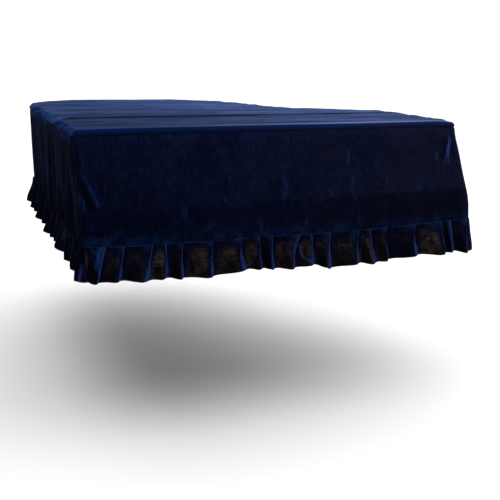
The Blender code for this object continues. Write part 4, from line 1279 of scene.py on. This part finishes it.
def cloth_back(name, colour):
    """Woven back of the velvet: flat, close weave with no pile."""
    n = Nodes(name)
    uv = n.coords()
    weave = n.add("ShaderNodeTexWave", wave_type="BANDS", bands_direction="X")
    weave.inputs["Scale"].default_value = 260
    weave.inputs["Distortion"].default_value = 1.2
    n.link(uv, weave.inputs["Vector"])
    across = n.add("ShaderNodeTexWave", wave_type="BANDS", bands_direction="Y")
    across.inputs["Scale"].default_value = 260
    across.inputs["Distortion"].default_value = 1.2
    n.link(uv, across.inputs["Vector"])
    both = n.math("MULTIPLY", weave.outputs["Fac"], across.outputs["Fac"])
    dark = tuple(0.55 * c for c in colour)
    shade = n.mix(n.noise(uv, 6.0, 3.0, 0.5), dark, colour)
    n.link(n.mix(n.math("MULTIPLY", both, 0.5), shade, tuple(min(1, 1.5 * c) for c in colour)), n.shader.inputs["Base Color"])
    n.shader.inputs["Roughness"].default_value = 0.9
    n.link(n.bump(both, 0.3, 0.0005), n.shader.inputs["Normal"])
    set_look(n.shader, 0.1, (0.2, 0.3, 0.6), 0.5, 0.2)
    return n.material


# ================================================================ the pieces
def droop_at_corner(piece):
    """The same soft shift of every piece round the treble corner, so that the seam between them stays closed."""
    points = np.empty(3 * len(piece.data.vertices), np.float32)
    piece.data.vertices.foreach_get("co", points)
    points = points.reshape(-1, 3)
    away = points - np.array((LID_WIDTH - ORIGIN_X, -ORIGIN_Y, 0.0))
    near = np.exp(-((np.linalg.norm(away, axis=1) / TREBLE_DROOP_REACH) ** 2))
    points = points + near[:, None] * np.array(TREBLE_DROOP)
    piece.data.vertices.foreach_set("co", points.astype(np.float32).ravel())
    piece.data.update()


def lengthen_hem(piece):
    """The ruffle hangs a little longer along the keyboard side, most of all toward the treble end."""
    points = np.empty(3 * len(piece.data.vertices), np.float32)
    piece.data.vertices.foreach_get("co", points)
    points = points.reshape(-1, 3).astype(float)
    x, y = points[:, 0] + ORIGIN_X, points[:, 1] + ORIGIN_Y
    sag = seam_sag(np.clip(x, 0, LID_WIDTH), np.zeros(len(x)))
    below = np.clip(-points[:, 2] - SEAM_DROP - sag, 0, None)
    points[:, 2] -= below * smoothstep(-y / 0.15) * (0.05 + 0.08 * smoothstep((x - 0.65) / 0.30))
    piece.data.vertices.foreach_set("co", points.astype(np.float32).ravel())
    piece.data.update()


skirt = build_skirt()
ruffle = build_ruffle()
top = top_object()
droop_at_corner(skirt)
droop_at_corner(top)
lengthen_hem(ruffle)

# The top's colours are painted much lighter than the sides' of the same velvet: painted sheen standing in for its
# grazing sheen.
TOP_LOOK = {
    "patches": (2.2, 8.0, 1.0), "levels": (0.44, 0.58), "strokes": (3.6, 18.0, 1.0), "stroke_share": 0.70, "fine": 0.26,
    "crumple": (6.0, 26.0, 1.0), "crumple_high": 0.006,
    "deep": (0.0112, 0.0225, 0.0700), "body": (0.0245, 0.0435, 0.1190), "bright": (0.0560, 0.0860, 0.2000),
    "rim": (
        (0.20, (0.0120, 0.0420, 0.1700)), (0.36, (0.0018, 0.0092, 0.0500)), (0.62, (0.0020, 0.0084, 0.0420)),
        (0.82, (0.0017, 0.0056, 0.0270)), (0.93, (0.0024, 0.0056, 0.0270)),
    ),
    "rim_far": (
        (0.20, (0.0300, 0.0560, 0.1900)), (0.36, (0.0070, 0.0140, 0.0600)), (0.62, (0.0056, 0.0105, 0.0450)),
        (0.82, (0.0046, 0.0078, 0.0300)), (0.93, (0.0062, 0.0085, 0.0300)),
    ),
    "streaky_shade": ((0.0012, 0.0018, 0.0060), (0.0070, 0.0105, 0.0280)), "streaky_shade_blue": (0.0030, 0.0110, 0.0420),
    "rim_shade": (0.0010, 0.0030, 0.0110), "lip_highlight": (0.0950, 0.1380, 0.3000),
    "roll": (
        (0.34, (0.0022, 0.0065, 0.0280)), (0.52, (0.0055, 0.0150, 0.0600)), (0.66, (0.0170, 0.0340, 0.1080)),
    ),
    "sheen": 0.20, "tint": (0.100, 0.200, 0.62), "sheen_rough": 0.30, "specular": 0.01, "lean": 0.0,
}
RIM_LOOK = {**TOP_LOOK, "sheen": 0.06, "tint": (0.050, 0.140, 0.62), "specular": 0.0}
SKIRT_LOOK = {
    "patches": (17.0, 12.0, 1.0), "levels": (0.26, 0.76), "strokes": (52.0, 22.0, 1.0), "stroke_share": 0.40, "fine": 0.50,
    "crumple": (26.0, 20.0, 1.0), "crumple_high": 0.006,
    "deep": (0.0004, 0.0005, 0.0028), "body": (0.0009, 0.0026, 0.0120), "bright": (0.0030, 0.0085, 0.0300),
    "across": (0.05, 0.45, 0.95),
    "deeps": ((0.0006, 0.0007, 0.0038), (0.0013, 0.0016, 0.0068), (0.0030, 0.0028, 0.0078)),
    "bodies": ((0.0012, 0.0028, 0.0130), (0.0018, 0.0044, 0.0190), (0.0036, 0.0050, 0.0160)),
    "foot": (0.0017, 0.0105, 0.0440), "weave": (0.68, 1.34), "crest_highlight": (0.46, (0.0036, 0.0130, 0.0460)),
    "streaky_shade": ((0.0006, 0.0007, 0.0026), (0.0062, 0.0082, 0.0190)), "streaky_shade_blue": (0.0022, 0.0080, 0.0290),
    "streaky_shade_fade": (0.55, 1.02, 0.0, 0.75), "streaky_shade_foot": (0.0008, 0.0009, 0.0034), "neck_sheen": (0.0150, 0.0250, 0.0780),
    "fold_highlight": (0.0032, 0.0200, 0.0860), "fold_highlight_from": (0.16, 0.62),
    "spots": SKIRT_SPOTS, "spots_deep": SEAM_DROP, "bright_marks": (0.0100, 0.0230, 0.1000),
    "sheen": 0.20, "tint": (0.080, 0.130, 0.56), "sheen_rough": 0.30, "specular": 0.005, "lean": 0.40,
}
RUFFLE_LOOK = {
    "patches": (16.0, 9.0, 1.0), "levels": (0.36, 0.66), "strokes": (50.0, 14.0, 1.0), "stroke_share": 0.5, "fine": 0.45,
    "crumple": (34.0, 26.0, 1.0), "crumple_high": 0.006,
    "deep": (0.0009, 0.0008, 0.0029), "body": (0.0016, 0.0026, 0.0118), "bright": (0.0026, 0.0070, 0.0280),
    "streaky_shade": ((0.0007, 0.0008, 0.0028), (0.0025, 0.0030, 0.0084)), "streaky_shade_blue": (0.0011, 0.0034, 0.0150),
    "streaky_shade_fade": (0.30, 1.00, 0.0, 0.35), "streaky_shade_foot": (0.0010, 0.0010, 0.0032), "tan_streak_highlight": (0.0170, 0.0140, 0.0110),
    "fold_highlight": (0.0090, 0.0290, 0.1200), "fold_highlight_from": (0.34, 0.90),
    "spots": RUFFLE_SPOTS, "spots_deep": RUFFLE_DEEP, "tan_highlight": (0.0150, 0.0135, 0.0150), "bright_marks": (0.0100, 0.0260, 0.0950),
    "warm_reflection": (0.0265, 0.0168, 0.0140), "warm_reflection_green": (0.0228, 0.0188, 0.0134), "head": (0.0060, 0.0200, 0.0800), "hem": (0.1500, 0.1000, 0.0720),
    "sheen": 0.15, "tint": (0.070, 0.130, 0.56), "sheen_rough": 0.30, "specular": 0.005, "lean": 0.40,
}

top.data.materials.append(velvet("top_velvet_painted_sheen", TOP_LOOK))
skirt.data.materials.append(velvet("skirt_velvet_nap", SKIRT_LOOK))
ruffle.data.materials.append(velvet("ruffle_velvet_nap", RUFFLE_LOOK))
back = cloth_back("velvet_back", (0.010, 0.016, 0.045))
for piece in (top, skirt, ruffle):
    piece.data.materials.append(back)
top.data.materials.append(velvet("rim_velvet_painted_light", RIM_LOOK))

for piece, node, slot in (
    (top, "top_panel", "top_velvet"),
    (skirt, "drop_skirt", "skirt_velvet"),
    (ruffle, "pleat_ruffle", "ruffle_velvet"),
):
    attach(piece, "root")
    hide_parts(node)


# ================================================================ floor, light and camera
ROOM_LIGHT, WALL_LIGHT = 0.52, 1.0
LEFT_SHARE = 0.80  # the room's light from the left, as a share of that from the right
OVERHEAD_LIGHT, OVERHEAD_SPREAD = 2.9, 100.0  # a wide soft light from straight above, and its angle in degrees
OVERHEAD_FROM = (0.25, 0.12, 1.0)
# Soft boxes: name, place, aim, width, power, colour
LIGHTS = (
    ("right", (3.8, -1.2, 1.9), (0.3, -0.2, -0.2), 2.4, 12, (1.0, 0.99, 0.97)),
    ("behind", (2.6, 4.2, 1.8), (0.0, 0.3, 0.0), 2.8, 55, (0.97, 0.98, 1.0)),
)


def studio():
    mesh = bpy.data.meshes.new("studio_floor")
    r = 40.0
    mesh.from_pydata([(-r, -r, FLOOR_Z), (r, -r, FLOOR_Z), (r, r, FLOOR_Z), (-r, r, FLOOR_Z)], [], [(0, 1, 2, 3)])
    floor = bpy.data.objects.new("studio_floor", mesh)
    bpy.context.scene.collection.objects.link(floor)
    n = Nodes("studio_floor_paint")
    n.shader.inputs["Base Color"].default_value = (0.86, 0.86, 0.86, 1)
    n.shader.inputs["Roughness"].default_value = 0.9
    n.shader.inputs["Specular IOR Level"].default_value = 0.1
    mesh.materials.append(n.material)

    world = bpy.data.worlds.new("studio")
    world.use_nodes = True
    tree = world.node_tree
    room = tree.nodes["Background"]
    room.inputs["Strength"].default_value = ROOM_LIGHT
    way = tree.nodes.new("ShaderNodeTexCoord")
    split = tree.nodes.new("ShaderNodeSeparateXYZ")
    side = tree.nodes.new("ShaderNodeMapRange")
    for key, value in (("From Min", -0.7), ("From Max", 0.8), ("To Min", LEFT_SHARE), ("To Max", 1.0)):
        side.inputs[key].default_value = value
    tree.links.new(way.outputs["Generated"], split.inputs[0])
    tree.links.new(split.outputs["X"], side.inputs["Value"])
    tree.links.new(side.outputs["Result"], room.inputs["Color"])
    wall = tree.nodes.new("ShaderNodeBackground")
    wall.inputs["Color"].default_value = (1, 1, 1, 1)
    wall.inputs["Strength"].default_value = WALL_LIGHT
    seen = tree.nodes.new("ShaderNodeLightPath")
    mix = tree.nodes.new("ShaderNodeMixShader")
    tree.links.new(seen.outputs["Is Camera Ray"], mix.inputs[0])
    tree.links.new(room.outputs[0], mix.inputs[1])
    tree.links.new(wall.outputs[0], mix.inputs[2])
    tree.links.new(mix.outputs[0], tree.nodes["World Output"].inputs["Surface"])
    bpy.context.scene.world = world

    for name, at, aim, size, power, colour in LIGHTS:
        light = bpy.data.lights.new(name, "AREA")
        light.shape, light.size, light.energy, light.color = "DISK", size, power, colour
        obj = bpy.data.objects.new(name, light)
        obj.location = at
        obj.rotation_euler = (Vector(aim) - Vector(at)).to_track_quat("-Z", "Y").to_euler()
        bpy.context.scene.collection.objects.link(obj)

    sun = bpy.data.lights.new("overhead", "SUN")
    sun.energy, sun.angle = OVERHEAD_LIGHT, math.radians(OVERHEAD_SPREAD)
    obj = bpy.data.objects.new("overhead", sun)
    obj.location = (0, 0, 4)
    obj.rotation_euler = (-Vector(OVERHEAD_FROM)).to_track_quat("-Z", "Y").to_euler()
    bpy.context.scene.collection.objects.link(obj)

    data = bpy.data.cameras.new("view")
    data.sensor_width, data.lens = 36.0, CAMERA_LENS
    data.clip_start, data.clip_end = 0.05, 200
    camera = bpy.data.objects.new("view", data)
    camera.location = CAMERA_AT
    camera.rotation_euler = Euler([math.radians(v) for v in CAMERA_TURN], "XYZ")
    bpy.context.scene.collection.objects.link(camera)
    bpy.context.scene.camera = camera
    bpy.context.scene.view_settings.view_transform = "Standard"


studio()
